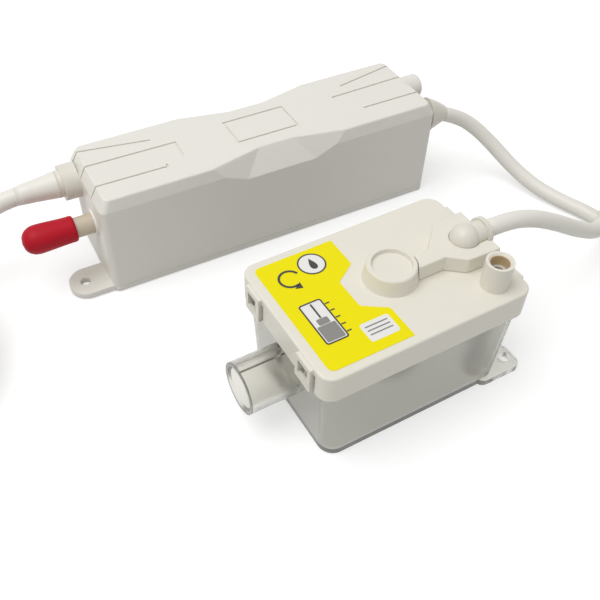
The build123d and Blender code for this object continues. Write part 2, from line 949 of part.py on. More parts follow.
with BuildPart() as isolator_rings:
    for side in (-1, 1):
        start = (side * saddle_x - isolator_l / 2, 0, axis_z)
        add(turned(start, along_x, tube(isolator_l, isolator_r, head_r + seat_gap)))
finish(isolator_rings.part, "isolator_rings")

# ------------------------------------------------------------------ hoses in the case
hose_bore = barb_r + seat_gap
outlet_barb_x = -inner_x + outlet_flange_t + outlet_barb_in
outlet_hose_route = (
    (-head_end - seat_gap, 0, axis_z),
    (-barb_end - hose_lead, 0, axis_z),
    (outlet_barb_x + hose_lead, outlet_y, outlet_z),
    (outlet_barb_x - outlet_barb_in + seat_gap, outlet_y, outlet_z),
)
with BuildPart() as outlet_hose:
    add(swept(outlet_hose_route, hose_r, hose_bore))
finish(outlet_hose.part, "outlet_hose")

inlet_hose_route = (
    (head_end + seat_gap, 0, axis_z),
    (barb_end + hose_lead, 0, axis_z),
    (elbow_x_in - hose_lead, inlet_y / 2, axis_z + hose_bore / 4),
    (elbow_x_in, inlet_y, axis_z + hose_lead),
    (elbow_x_in, inlet_y, inlet_z - inlet_r - hose_gap),
)
with BuildPart() as inlet_hose:
    add(swept(inlet_hose_route, hose_r, hose_bore))
finish(inlet_hose.part, "inlet_hose")

# ------------------------------------------------------------------ circuit board
with BuildPart() as circuit_board:
    with BuildSketch(Plane.XY.offset(board_z)):
        Rectangle(board_l, board_w)
        with GridLocations(2 * board_hole_x, 2 * board_hole_y, 2, 2):
            Circle(board_screw_r + 2 * seat_gap, mode=Mode.SUBTRACT)
    extrude(amount=board_t)
finish(circuit_board.part, "circuit_board")

with BuildPart() as board_screws:
    for sx in (-1, 1):
        for sy in (-1, 1):
            profile = (
                (board_screw_tip - board_t - board_screw_l, 0),
                (board_screw_tip - board_t - board_screw_l, board_screw_r),
                (0, board_screw_r),
                (0, board_screw_head_r),
                (board_screw_head_h, board_screw_head_r),
                (board_screw_head_h, 0),
            )
            spot = (sx * board_hole_x, sy * board_hole_y, board_top)
            add(turned(spot, up, profile))
finish(board_screws.part, "board_screws")

terminal_x = -board_l / 2 + terminal_l / 2 + board_edge
with BuildPart() as terminal_block:
    with BuildSketch(Plane.XY.offset(board_top)):
        with Locations((terminal_x, terminal_y)):
            Rectangle(terminal_l, terminal_w)
    extrude(amount=terminal_h)
    with BuildSketch(Plane.XY.offset(board_top + terminal_h)):
        with Locations((terminal_x, terminal_y)):
            with GridLocations(0, terminal_w / 3, 1, 3):
                Circle(terminal_w / 8)
    extrude(amount=-terminal_h / 4, mode=Mode.SUBTRACT)
finish(terminal_block.part, "terminal_block")

with BuildPart() as fuse:
    add(
        turned(
            (-board_l / 4 - fuse_l / 2, -board_w / 4, board_top + fuse_r),
            along_x,
            (
                (0, 0),
                (0, fuse_r),
                (fuse_l / 4, fuse_r),
                (fuse_l / 4, fuse_r * 0.85),
                (fuse_l * 3 / 4, fuse_r * 0.85),
                (fuse_l * 3 / 4, fuse_r),
                (fuse_l, fuse_r),
                (fuse_l, 0),
            ),
        )
    )
finish(fuse.part, "fuse")

with BuildPart() as capacitor:
    with BuildSketch(Plane.XY.offset(board_top)):
        with Locations((-board_l / 4, board_w / 5)):
            Rectangle(capacitor_l, capacitor_w)
    extrude(amount=capacitor_h)
    fillet(capacitor.edges().filter_by(Axis.Z), capacitor_w / 8)
finish(capacitor.part, "capacitor")

with BuildPart() as controller_chip:
    chip_x = board_l / 4
    with BuildSketch(Plane.XY.offset(board_top + chip_h / 8)):
        with Locations((chip_x, 0)):
            Rectangle(chip_l, chip_w)
    extrude(amount=chip_h)
    lead_pitch = chip_l / chip_leads
    with BuildSketch(Plane.XY.offset(board_top)):
        with Locations((chip_x, 0)):
            with GridLocations(lead_pitch, 0, chip_leads, 1):
                Rectangle(lead_pitch / 3, chip_w * 1.5)
    extrude(amount=chip_h / 4)
finish(controller_chip.part, "controller_chip")

header_x = board_l / 2 - header_l / 2 - board_edge
header_y = -board_w / 6
with BuildPart() as sensor_header:
    with BuildSketch(Plane.XY.offset(board_top)):
        with Locations((header_x, header_y)):
            Rectangle(header_l, header_w)
            Rectangle(header_l * 0.6, header_w * 0.8, mode=Mode.SUBTRACT)
    extrude(amount=header_h)
    with BuildSketch(Plane.XY.offset(board_top)):
        with Locations((header_x, header_y)):
            Rectangle(header_l, header_w)
    extrude(amount=header_h / 3)
finish(sensor_header.part, "sensor_header")

# ------------------------------------------------------------------ leads inside the case
core_step = 2 * core_r + 2 * seat_gap
with BuildPart() as mains_leads:
    sheath_end = -inner_x + gland_plate_t + mains_inside
    sheath_start = -end_x - gland_collar_l - gland_tail_l
    with BuildSketch(Plane.YZ.offset(sheath_start)):
        with Locations((gland_y, gland_z)):
            Circle(mains_d / 2)
    extrude(amount=sheath_end - sheath_start)
    lead_end = terminal_x - terminal_l / 2 - seat_gap
    lead_z = board_top + terminal_h / 2
    for step in (-1, 0, 1):
        lead_y = gland_y + step * core_step
        block_y = terminal_y + terminal_w / 4 + step * core_step
        lead_route = (
            (sheath_end, lead_y, gland_z),
            (sheath_end + lead_run, lead_y, gland_z),
            (lead_end - lead_run, block_y, lead_z),
            (lead_end, block_y, lead_z),
        )
        add(swept(lead_route, core_r))
finish(mains_leads.part, "mains_leads")

with BuildPart() as signal_leads:
    signal_end = inner_x - hood_plate_t - signal_inside
    with BuildSketch(Plane.YZ.offset(signal_end)):
        with Locations((signal_y, signal_z)):
            Circle(signal_d / 2)
    extrude(amount=end_x + hood_out - sheath_back - signal_end)
    plug_x = header_x + header_l / 2 + seat_gap
    plug_z = board_top + header_h / 2
    for step in (-1, 0, 1):
        lead_y = signal_y + step * core_step
        plug_y = header_y + step * core_step
        lead_route = (
            (signal_end, lead_y, signal_z),
            (signal_end - lead_run, lead_y, signal_z),
            (plug_x + lead_run, plug_y, plug_z),
            (plug_x, plug_y, plug_z),
        )
        add(swept(lead_route, core_r))
finish(signal_leads.part, "signal_leads")


# ------------------------------------------------------------------ reservoir tank
def tank_form(inset, low_z, high_z):
    """Tapered box of the tank between two heights, its walls moved in by inset."""
    length = lid_l - 2 * tank_inset - 2 * inset
    width = lid_w - 2 * tank_inset - 2 * inset
    with BuildPart() as form:
        with BuildSketch(tank.offset(low_z)):
            RectangleRounded(length - 2 * tank_taper, width, tank_foot_r - inset)
        with BuildSketch(tank.offset(high_z)):
            RectangleRounded(length, width, tank_rim_r - inset)
        loft(ruled=True)
    return form.part


spigot_end = lid_l / 2 + spigot_out
spigot_l = spigot_end - tank_end_x + tank_wall + tank_taper
with BuildPart() as tank_shell:
    add(tank_form(0, 0, tank_rim))
    # inlet spigot with a rib along its top
    with BuildSketch(tank_end(-spigot_end)):
        with Locations((0, spigot_z)):
            Circle(spigot_r)
        with Locations((0, spigot_z + spigot_r)):
            Rectangle(rib_w, 2 * rib_h)
    extrude(amount=spigot_l)
    # screw flange at one end of the floor
    with BuildSketch(tank):
        with Locations((lid_l / 2 + (flange_out - flange_root) / 2, flange_y)):
            RectangleRounded(flange_out + flange_root, flange_w, flange_r)
    extrude(amount=flange_t)
    # hollow and bore
    add(tank_form(tank_wall, tank_floor, tank_rim), mode=Mode.SUBTRACT)
    with BuildSketch(tank_end(-spigot_end)):
        with Locations((0, spigot_z)):
            Circle(spigot_bore_r)
    extrude(amount=spigot_l + tank_wall, mode=Mode.SUBTRACT)
    lead_in = (
        (0, 0),
        (0, spigot_bore_r + spigot_lead),
        (spigot_lead, spigot_bore_r),
        (spigot_lead, 0),
    )
    add(turned(tank_point(-spigot_end, 0, spigot_z), tank.x_dir, lead_in), mode=Mode.SUBTRACT)
    with BuildSketch(tank):
        with Locations((lid_l / 2 + flange_hole_out, flange_y)):
            Circle(flange_hole_r)
    extrude(amount=flange_t, mode=Mode.SUBTRACT)
    # catches in the lid's snap frames
    for side in (-1, 1):
        catch_x = side * (tank_end_x - tank_wall / 2)
        reach = side * (hook_out + tank_wall / 2)
        for spot in (-clip_y, clip_y):
            with BuildSketch(tank_end(catch_x)):
                with Locations((spot, (hook_low + hook_high) / 2)):
                    Rectangle(2 * hook_half, hook_high - hook_low)
            extrude(amount=reach)
finish(tank_shell.part, "tank")

# ------------------------------------------------------------------ lid
vent_profile = (
    (-lid_t, vent_bore_r),
    (-lid_t, vent_r),
    (0, vent_r),
    (vent_h, vent_r),
    (vent_h, vent_bore_r + vent_lead),
    (vent_h - vent_lead, vent_bore_r),
)
with BuildPart() as lid:
    with BuildSketch(tank.offset(skirt_z)):
        RectangleRounded(lid_l, lid_w, lid_r)
    extrude(amount=lid_top - skirt_z)
    fillet(lid.faces().sort_by(Axis.Z)[-1].edges(), lid_edge)
    with BuildSketch(tank.offset(skirt_z)):
        RectangleRounded(lid_l - 2 * skirt_t, lid_w - 2 * skirt_t, lid_r - skirt_t)
    extrude(amount=lid_under - skirt_z, mode=Mode.SUBTRACT)
    # snap frames: a loop proud of the skirt, with an open channel behind it
    for side in (-1, 1):
        frame_start = side * (lid_l / 2 - skirt_t)
        for spot in (-clip_y, clip_y):
            with BuildSketch(tank_end(frame_start)):
                with Locations((spot, (clip_low + clip_high) / 2)):
                    RectangleRounded(clip_w, clip_high - clip_low, slot_w / 2)
            extrude(amount=side * (skirt_t + clip_out))
            with BuildSketch(tank_end(frame_start)):
                with Locations((spot, (window_low + window_high) / 2)):
                    Rectangle(2 * window_half, window_high - window_low)
            extrude(amount=side * (skirt_t + clip_out), mode=Mode.SUBTRACT)
            with BuildSketch(tank_end(frame_start)):
                with Locations((spot, (clip_low + window_high) / 2)):
                    Rectangle(2 * window_half, window_high - clip_low)
            extrude(amount=side * skirt_t, mode=Mode.SUBTRACT)
            with BuildSketch(tank_end(frame_start)):
                with Locations((spot - clip_w / 2 - slot_w / 2, (skirt_z + window_high) / 2)):
                    Rectangle(slot_w, window_high - skirt_z)
            extrude(amount=side * skirt_t, mode=Mode.SUBTRACT)
    # round boss with its dish, and the float's stem under it
    add(
        turned(
            tank_point(disc_x, 0, lid_top),
            up,
            (
                (-lid_t, 0),
                (-lid_t, disc_r),
                (0, disc_r),
                (disc_h - disc_edge, disc_top_r),
                (disc_h, disc_top_r - disc_edge),
                (disc_h, dish_r),
                (disc_h - dish_d, dish_r - dish_draft),
                (disc_h - dish_d, 0),
            ),
        )
    )
    add(
        turned(
            tank_point(disc_x, 0, 0),
            up,
            (
                (stem_low, 0),
                (stem_low, stem_r),
                (clip_ring_z - seat_gap, stem_r),
                (clip_ring_z - seat_gap, clip_groove_r),
                (clip_ring_top + seat_gap, clip_groove_r),
                (clip_ring_top + seat_gap, stem_r),
                (lid_under, stem_r),
                (lid_under, 0),
            ),
        )
    )
    with BuildSketch(tank.offset(clip_ring_top + stem_wall_end)):
        with Locations((disc_x, 0)):
            Circle(stem_bore_r)
    extrude(
        amount=disc_top - dish_d - stem_wall_end - clip_ring_top - stem_wall_end,
        mode=Mode.SUBTRACT,
    )
    # upright vent nozzle
    with BuildSketch(tank.offset(lid_under)):
        with Locations((vent_x, vent_y)):
            Circle(vent_bore_r)
    extrude(amount=lid_t, mode=Mode.SUBTRACT)
    add(turned(tank_point(vent_x, vent_y, lid_top), up, vent_profile))
finish(lid.part, "lid")

with BuildPart() as lid_seal:
    with BuildSketch(tank.offset(tank_rim + rest_gap)):
        RectangleRounded(
            lid_l - 2 * tank_inset, lid_w - 2 * tank_inset, tank_rim_r
        )
        RectangleRounded(
            lid_l - 2 * tank_inset - 2 * seal_w,
            lid_w - 2 * tank_inset - 2 * seal_w,
            tank_rim_r - tank_wall,
            mode=Mode.SUBTRACT,
        )
    extrude(amount=lid_under - tank_rim - rest_gap)
finish(lid_seal.part, "lid_seal")

# ------------------------------------------------------------------ sensor cover and lid gland
gland_tip_x = elbow_x + elbow_tail_l


def gland_form(clearance, bore):
    """Round nose of the lid gland and the barrel behind its collar, turned in one."""
    middle = tank_point(elbow_x, elbow_y, elbow_z)
    with BuildPart() as form:
        with BuildSketch(Plane(middle, x_dir=tank.x_dir, z_dir=up)):
            Circle(elbow_r + clearance)
            with Locations((elbow_tail_l / 2, 0)):
                Rectangle(elbow_tail_l, 2 * (elbow_tail_r + clearance))
            Rectangle(4 * elbow_r, 4 * elbow_r, align=(Align.CENTER, Align.MAX), mode=Mode.SUBTRACT)
            if bore > 0:
                Rectangle(elbow_tail_l, bore, align=Align.MIN, mode=Mode.SUBTRACT)
        revolve(axis=Axis(middle, tank.x_dir))
    return form.part


with BuildPart() as sensor_cover:
    with BuildSketch(tank.offset(lid_top)):
        with BuildLine():
            Polyline(
                (disc_x, cover_neck_near),
                *cover_near,
                *cover_far,
                (disc_x, cover_neck_far),
                close=True,
            )
        make_face()
    extrude(amount=disc_h, taper=cover_draft)
    # seat round the boss
    boss_clear = (
        (-seat_gap, 0),
        (-seat_gap, disc_r + seat_gap),
        (0, disc_r + seat_gap),
        (disc_h, disc_top_r + cover_room),
        (disc_h + seat_gap, disc_top_r + cover_room),
        (disc_h + seat_gap, 0),
    )
    add(turned(tank_point(disc_x, 0, lid_top), up, boss_clear), mode=Mode.SUBTRACT)
    # trough of the gland
    add(gland_form(seat_gap, 0), mode=Mode.SUBTRACT)
    with BuildSketch(tank_end(gland_tip_x - seat_gap)):
        with Locations((elbow_y, elbow_z)):
            Circle(collar_r + seat_gap)
    extrude(amount=collar_l + elbow_r, mode=Mode.SUBTRACT)
finish(sensor_cover.part, "sensor_cover")

with BuildPart() as lid_gland:
    add(gland_form(0, signal_d / 2 + seat_gap))
finish(lid_gland.part, "lid_gland")

with BuildPart() as gland_ring:
    profile = tube(collar_l, collar_r, signal_d / 2 + seat_gap)
    add(turned(tank_point(gland_tip_x, elbow_y, elbow_z), tank.x_dir, profile))
finish(gland_ring.part, "gland_ring")

with BuildPart() as lid_lead:
    with BuildSketch(tank_end(elbow_x)):
        with Locations((elbow_y, elbow_z)):
            Circle(signal_d / 2)
    extrude(amount=elbow_tail_l + collar_l)
finish(lid_lead.part, "lid_lead")

with BuildPart() as sensor_board:
    strip_low = clip_ring_top + stem_wall_end + rest_gap
    with BuildSketch(tank.offset(strip_low)):
        with Locations((disc_x, 0)):
            Rectangle(sensor_strip_w, sensor_strip_t)
    extrude(amount=lid_top - strip_low)
    strip_rise = (lid_under - strip_low) / sensor_count
    for index in range(sensor_count):
        with BuildSketch(tank.offset(strip_low + (index + 0.5) * strip_rise)):
            with Locations((disc_x, sensor_strip_t)):
                Rectangle(sensor_strip_w / 2, sensor_strip_t)
        extrude(amount=sensor_strip_w / 2)
finish(sensor_board.part, "sensor_board")

# ------------------------------------------------------------------ float
with BuildPart() as float_body:
    float_top = float_low + float_h
    add(
        turned(
            tank_point(disc_x, 0, 0),
            up,
            (
                (float_low, float_bore_r),
                (float_low, float_r - float_edge),
                (float_low + float_edge, float_r),
                (float_top - float_edge, float_r),
                (float_top, float_r - float_edge),
                (float_top, magnet_out_r + seat_gap),
                (float_top - magnet_h, magnet_out_r + seat_gap),
                (float_top - magnet_h, magnet_in_r - seat_gap),
                (float_top, magnet_in_r - seat_gap),
                (float_top, float_bore_r),
            ),
        )
    )
finish(float_body.part, "float")

with BuildPart() as float_magnet:
    magnet_at = tank_point(disc_x, 0, float_top - magnet_h)
    add(turned(magnet_at, up, tube(magnet_h, magnet_out_r, magnet_in_r)))
finish(float_magnet.part, "float_magnet")

with BuildPart() as float_clip:
    with BuildSketch(tank.offset(clip_ring_z)):
        with Locations((disc_x, 0)):
            Circle(clip_ring_r)
            Circle(clip_groove_r + seat_gap, mode=Mode.SUBTRACT)
        with Locations((disc_x, -clip_ring_r)):
            Rectangle(2 * clip_groove_r, 2 * clip_ring_r - clip_groove_r, mode=Mode.SUBTRACT)
    extrude(amount=clip_ring_t)
finish(float_clip.part, "float_clip")

# ------------------------------------------------------------------ suction pipe
with BuildPart() as suction_pipe:
    pipe_l = lid_top + pipe_in - pipe_low
    add(turned(tank_point(vent_x, vent_y, pipe_low), up, tube(pipe_l, pipe_r, pipe_bore_r)))
finish(suction_pipe.part, "suction_pipe")

with BuildPart() as strainer:
    add(
        turned(
            tank_point(vent_x, vent_y, strainer_low),
            up,
            (
                (0, 0),
                (0, strainer_r),
                (strainer_h, strainer_r),
                (strainer_h, pipe_r + seat_gap),
                (strainer_t, pipe_r + seat_gap),
                (strainer_t, 0),
            ),
        )
    )
    slot_h = pipe_low - strainer_low - 2 * strainer_t
    for index in range(strainer_slots // 2):
        angle = tank_turn + 360 * index / strainer_slots
        slot_at = tank_point(vent_x, vent_y, strainer_low + strainer_t + slot_h / 2)
        with Locations(Location(slot_at, (0, 0, angle))):
            Box(2 * strainer_r + 1, strainer_slot_w, slot_h, mode=Mode.SUBTRACT)
finish(strainer.part, "strainer")


# ------------------------------------------------------------------ free cords
def cord(name, points, diameter):
    """A cord's uncoiled stretch; prints its bends and tests its volume."""
    tube_part = swept(points, diameter / 2)
    with BuildLine():
        path = FilletPolyline(*points, radius=bend_radii(points))
    length = path.length
    ideal = pi * diameter * diameter / 4 * length
    radii = ", ".join(f"{r / diameter:.1f}" for r in bend_radii(points))
    print(f"{name}: {length:.1f} mm, bends in diameters {radii}")
    print(f"  volume over section times length {tube_part.volume / ideal:.4f}")
    return tube_part


def coil_ring(x, y, diameter):
    """Outer shape of a wound coil of cord lying on the floor."""
    half = coil_columns * diameter / 2
    middle = coil_mid * diameter
    return turned((x, y, 0), up, tube(coil_rows * diameter, middle + half, middle - half))


with BuildPart() as mains_cable:
    add(cord("mains_cable", mains_route, mains_d))
finish(mains_cable.part, "mains_cable")

with BuildPart() as mains_cable_coil:
    add(coil_ring(mains_coil_x, mains_coil_y, mains_d))
finish(mains_cable_coil.part, "mains_cable_coil")

with BuildPart() as mains_cores:
    # the bare end lies on its coil
    tail_x = mains_coil_x - coil_mid * mains_d
    tail_y = mains_coil_y + (bare_sheath + bare_l) / 2
    tail_z = (coil_rows + 0.5) * mains_d
    with BuildSketch(Plane.XZ.offset(-tail_y)):
        with Locations((tail_x, tail_z)):
            Circle(mains_d / 2 - bare_sheath_t)
    extrude(amount=bare_sheath)
    with BuildSketch(Plane.XZ.offset(bare_sheath - tail_y)):
        for step in (-1, 0, 1):
            with Locations((tail_x + step * bare_step, tail_z - abs(step) * bare_r)):
                Circle(bare_r)
    extrude(amount=bare_l)
finish(mains_cores.part, "mains_cores")

with BuildPart() as sensor_cable:
    add(cord("sensor_cable", sensor_route, signal_d))
finish(sensor_cable.part, "sensor_cable")

with BuildPart() as sensor_cable_coil:
    add(coil_ring(sensor_coil_x, sensor_coil_y, signal_d))
finish(sensor_cable_coil.part, "sensor_cable_coil")

with BuildPart() as sensor_cable_lid:
    add(cord("sensor_cable_lid", lid_route, signal_d))
finish(sensor_cable_lid.part, "sensor_cable_lid")
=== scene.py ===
import json
from math import atan2, cos, pi, radians, sin

import bmesh
import bpy
import numpy as np
from mathutils import Euler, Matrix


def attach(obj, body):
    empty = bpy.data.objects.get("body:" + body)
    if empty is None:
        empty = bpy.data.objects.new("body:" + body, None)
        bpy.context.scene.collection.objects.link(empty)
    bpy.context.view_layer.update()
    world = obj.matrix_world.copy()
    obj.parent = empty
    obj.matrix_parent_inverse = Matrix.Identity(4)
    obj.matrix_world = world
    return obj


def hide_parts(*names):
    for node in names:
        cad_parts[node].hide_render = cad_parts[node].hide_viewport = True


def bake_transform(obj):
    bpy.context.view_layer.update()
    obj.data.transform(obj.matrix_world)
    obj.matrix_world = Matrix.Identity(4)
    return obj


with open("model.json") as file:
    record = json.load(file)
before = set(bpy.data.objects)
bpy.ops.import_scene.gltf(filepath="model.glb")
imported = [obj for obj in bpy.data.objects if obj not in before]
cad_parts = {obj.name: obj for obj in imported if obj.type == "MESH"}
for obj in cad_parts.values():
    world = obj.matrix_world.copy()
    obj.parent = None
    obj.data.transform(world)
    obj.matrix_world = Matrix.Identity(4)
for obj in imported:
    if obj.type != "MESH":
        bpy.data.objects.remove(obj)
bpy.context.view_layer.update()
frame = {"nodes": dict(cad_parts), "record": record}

bl_info = {
    "name": "Condensate pump looks",
    "version": (1, 0, 0),
    "blender": (4, 5, 0),
    "location": "3D View > Sidebar > Pump",
    "description": "Cords, label, finishes and stage of a condensate pump and its float reservoir",
    "category": "Object",
}

MOUNTS = {mount["name"]: mount for mount in frame["record"]["mounts"]}

# the reservoir's own axes on the floor: their middle, and their turn, which its spigot shows
TANK_X, TANK_Y = MOUNTS["tank_floor"]["pos_m"][:2]
SPIGOT_AXIS = MOUNTS["condensate_inlet"]["axis"]
TANK_TURN = atan2(-SPIGOT_AXIS[1], -SPIGOT_AXIS[0])
# height of the lid's top, then place and inner radius of its upright vent
LID_TOP = 0.0439
VENT_X, VENT_Y = MOUNTS["suction_port"]["pos_m"][:2]
VENT_BORE = 0.0032


# ---------------------------------------------------------------- settings
def length_property(name, description, default, **limits):
    """A length for a settings group, in metres."""
    return bpy.props.FloatProperty(
        name=name, description=description, default=default, unit="LENGTH", **limits
    )


def colour_property(name, description, default):
    """A colour for a settings group."""
    return bpy.props.FloatVectorProperty(
        name=name, description=description, default=default, subtype="COLOR", size=3, min=0, max=1
    )


class PUMP_CordSettings(bpy.types.PropertyGroup):
    """Sizes of the two free cables."""

    mains_diameter: length_property(
        "Mains cable diameter", "Sheath of the cable at the outlet end", 0.007, min=0.004, max=0.01
    )
    sensor_diameter: length_property(
        "Sensor cable diameter",
        "Sheath of the cable between pump and reservoir",
        0.0062,
        min=0.003,
        max=0.008,
    )
    mains_length: length_property("Mains cable length", "From the gland to the bare ends", 1.50)
    sensor_length: length_property("Sensor cable length", "From the pump's hood to the lid gland", 1.40)
    turn_points: bpy.props.IntProperty(
        name="Points per turn",
        description="Control points in one turn of a coil",
        default=16,
        min=12,
        max=32,
    )
    sides: bpy.props.IntProperty(
        name="Sides", description="Faces round a cable", default=20, min=12, max=48
    )


class PUMP_LabelSettings(bpy.types.PropertyGroup):
    """The sticker on the reservoir's lid."""

    yellow: colour_property("Ground", "Printed colour of the sticker", (0.86, 0.76, 0.004))
    ink: colour_property("Ink", "Dark ink of the drawings", (0.035, 0.034, 0.033))
    thickness: length_property("Thickness", "Sticker above the lid", 0.00014, min=0.00005, max=0.0005)


class PUMP_CapSettings(bpy.types.PropertyGroup):
    """The soft dust cap on the outlet nozzle."""

    radius: length_property("Radius", "Outer radius at the open end", 0.0051, min=0.0045, max=0.006)
    swell: length_property(
        "Swell", "How much fuller the cap is towards its closed end", 0.0006, min=0, max=0.001
    )
    crease: length_property(
        "Crease", "Height of the soft dents round the cap", 0.00014, min=0, max=0.0004
    )


class PUMP_FinishSettings(bpy.types.PropertyGroup):
    """Colours of the mouldings, and how soft the edges of the plates are."""

    edge: length_property(
        "Edge", "Width of the round on the plates' edges", 0.0005, min=0.0001, max=0.001
    )
    case: colour_property("Case", "Ivory of the pump's cover", (0.775, 0.758, 0.695))
    lid: colour_property("Lid", "Off-white of the reservoir's lid", (0.775, 0.745, 0.655))
    cap: colour_property("Cap", "Red of the outlet's dust cap", (0.47, 0.007, 0.020))
    tank: colour_property("Tank", "Tint of the clear tank", (0.70, 0.69, 0.635))
    cable: colour_property("Cables", "Sheath of both cables", (0.80, 0.78, 0.715))


class PUMP_StageSettings(bpy.types.PropertyGroup):
    """Light, floor and camera."""

    key_power: bpy.props.FloatProperty(
        name="Key light",
        description="Power of the large soft lamp overhead",
        default=11.5,
        min=0,
        unit="POWER",
    )
    sky: bpy.props.FloatProperty(
        name="Sky",
        description="Strength of the even light from all round",
        default=0.5,
        min=0,
        max=1,
    )
    lens: bpy.props.FloatProperty(
        name="Lens",
        description="Focal length of the camera",
        default=46.858,
        min=10,
        max=200,
        subtype="DISTANCE_CAMERA",
    )


# ---------------------------------------------------------------- shapes
def tank_place(points):
    """Reservoir axes to the part's: turn by the reservoir's angle, then shift to its middle."""
    x, y = points[..., 0], points[..., 1]
    placed = points.copy()
    placed[..., 0] = TANK_X + x * cos(TANK_TURN) - y * sin(TANK_TURN)
    placed[..., 1] = TANK_Y + x * sin(TANK_TURN) + y * cos(TANK_TURN)
    return placed


def grid_faces(rows, columns, closed):
    """Quads of a grid of points, row after row; closed joins the last column to the first."""
    across = columns if closed else columns - 1
    row, column = np.meshgrid(np.arange(rows - 1), np.arange(across), indexing="ij")
    after = (column + 1) % columns
    corners = (
        row * columns + column,
        row * columns + after,
        (row + 1) * columns + after,
        (row + 1) * columns + column,
    )
    return np.stack([corner.ravel() for corner in corners], axis=1)


def finish_of(slot):
    """The material that the finishes operator made for a slot."""
    return bpy.data.materials[f"{slot} finish"]


def add_piece(name, points, faces, body, material, smooth=True):
    """Mesh object at the origin, with its place in its mesh, riding on a body of the part."""
    mesh = bpy.data.meshes.new(name)
    mesh.from_pydata(points.reshape(-1, 3).tolist(), [], faces)
    mesh.update()
    mesh.polygons.foreach_set("use_smooth", np.full(len(mesh.polygons), smooth))
    mesh.materials.append(material)
    piece = bpy.data.objects.new(name, mesh)
    bpy.context.scene.collection.objects.link(piece)
    if body:
        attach(piece, body)
    return piece


def tube_rings(path, radius, sides):
    """Round tube: point = path + r (cos a * side + sin a * rise), side level and square to the path."""
    along = np.gradient(path, axis=0)
    along /= np.linalg.norm(along, axis=1, keepdims=True)
    side = np.cross(along, (0.0, 0.0, 1.0))
    side /= np.linalg.norm(side, axis=1, keepdims=True)
    rise = np.cross(side, along)
    angle = np.linspace(0, 2 * pi, sides, endpoint=False)
    ring = np.cos(angle)[None, :, None] * side[:, None] + np.sin(angle)[None, :, None] * rise[:, None]
    return path[:, None] + np.asarray(radius).reshape(-1, 1, 1) * ring


def tube_faces(rows, sides):
    """Quads along the tube and a closing face at each end, all facing out."""
    faces = grid_faces(rows, sides, True)[:, ::-1].tolist()
    faces.append(list(range(sides)))
    faces.append(list(range((rows - 1) * sides, rows * sides))[::-1])
    return faces


def add_tube(name, path, radius, sides, body, slot):
    """Closed round tube along a path, in the finish of its slot."""
    rings = tube_rings(path, radius, sides)
    return add_piece(name, rings, tube_faces(len(path), sides), body, finish_of(slot))


# steps of a cable's path for each of its control points
PATH_STEPS = 5


def nurbs_path(name, controls):
    """Points along the quadratic NURBS curve that the control points pull into shape."""
    curve = bpy.data.curves.new(name + "_route", "CURVE")
    curve.dimensions = "3D"
    spline = curve.splines.new("NURBS")
    spline.points.add(len(controls) - 1)
    weighted = np.concatenate([controls, np.ones((len(controls), 1))], axis=1)
    spline.points.foreach_set("co", weighted.ravel().astype(np.float32))
    spline.order_u = 3
    spline.use_endpoint_u = True
    spline.resolution_u = PATH_STEPS
    carrier = bpy.data.objects.new(name + "_route", curve)
    mesh = bpy.data.meshes.new_from_object(carrier)
    path = np.zeros(len(mesh.vertices) * 3, np.float32)
    mesh.vertices.foreach_get("co", path)
    bpy.data.objects.remove(carrier)
    bpy.data.meshes.remove(mesh)
    bpy.data.curves.remove(curve)
    return path.reshape(-1, 3).astype(float)


# where the cable lies in a coil, turn after turn, in cable diameters: its radius, its height, and
# how far it climbs over what lies below it on its way to that place
COIL_SLOTS = (
    (5.75, 0.5, 0.0),
    (4.75, 0.5, 0.0),
    (4.75, 1.5, 0.0),
    (5.75, 1.5, 0.0),
    (4.75, 2.5, 0.0),
    (5.75, 2.5, 0.3),
)
# degrees along the coil: the first step, from one step to the next, and the length of a step
FIRST_STEP = 320.0
STEP_EVERY = 345.0
STEP_LENGTH = 50.0


def coil_turns(middle, diameter, start, turns, slots, per_turn):
    """Control points of a wound coil.

    The angle runs evenly from start. Radius and height step from slot to slot, each step a smooth
    3s^2 - 2s^3, and each a little earlier in its turn than the one before, so that the cable lies
    beside and on itself a diameter apart. A climb is a bell e^(-(s - 1/2)^2 / 0.3) over the step.
    """
    run = np.linspace(0, 360.0 * turns, int(round(turns * per_turn)) + 1)
    radius = np.full(len(run), slots[0][0])
    height = np.full(len(run), slots[0][1])
    for index, (before, after) in enumerate(zip(slots, slots[1:])):
        step = (run - FIRST_STEP - STEP_EVERY * index) / STEP_LENGTH
        share = np.clip(step, 0, 1)
        share = share * share * (3 - 2 * share)
        radius += share * (after[0] - before[0])
        height += share * (after[1] - before[1])
        height += after[2] * np.exp(-((step - 0.5) ** 2) / 0.3)
    # the curve cuts the corners of its control points, so they lie a little further out
    radius = radius * diameter / cos(pi / per_turn)
    angle = np.radians(start + run)
    return np.stack(
        [middle[0] + radius * np.cos(angle), middle[1] + radius * np.sin(angle), height * diameter],
        axis=1,
    )


# ---------------------------------------------------------------- flat drawings
CORNER_POINTS = 8
ARC_POINTS = 40


def rounded(corners, radius):
    """Outline with its corners rounded: between the two tangent points of a corner the line is
    (1-t)^2 a + 2t(1-t) corner + t^2 b."""
    corners = np.asarray(corners, float)
    before = np.roll(corners, 1, axis=0) - corners
    after = np.roll(corners, -1, axis=0) - corners
    radius = np.asarray(radius, float) * np.ones(len(corners))
    first = corners + before / np.linalg.norm(before, axis=1, keepdims=True) * radius[:, None]
    last = corners + after / np.linalg.norm(after, axis=1, keepdims=True) * radius[:, None]
    t = np.linspace(0, 1, CORNER_POINTS)[None, :, None]
    line = (1 - t) ** 2 * first[:, None] + 2 * t * (1 - t) * corners[:, None] + t**2 * last[:, None]
    return line.reshape(-1, 2)


def rounded_box(left, right, low, high, radius):
    """Upright rectangle with rounded corners."""
    return rounded(((left, low), (right, low), (right, high), (left, high)), radius)


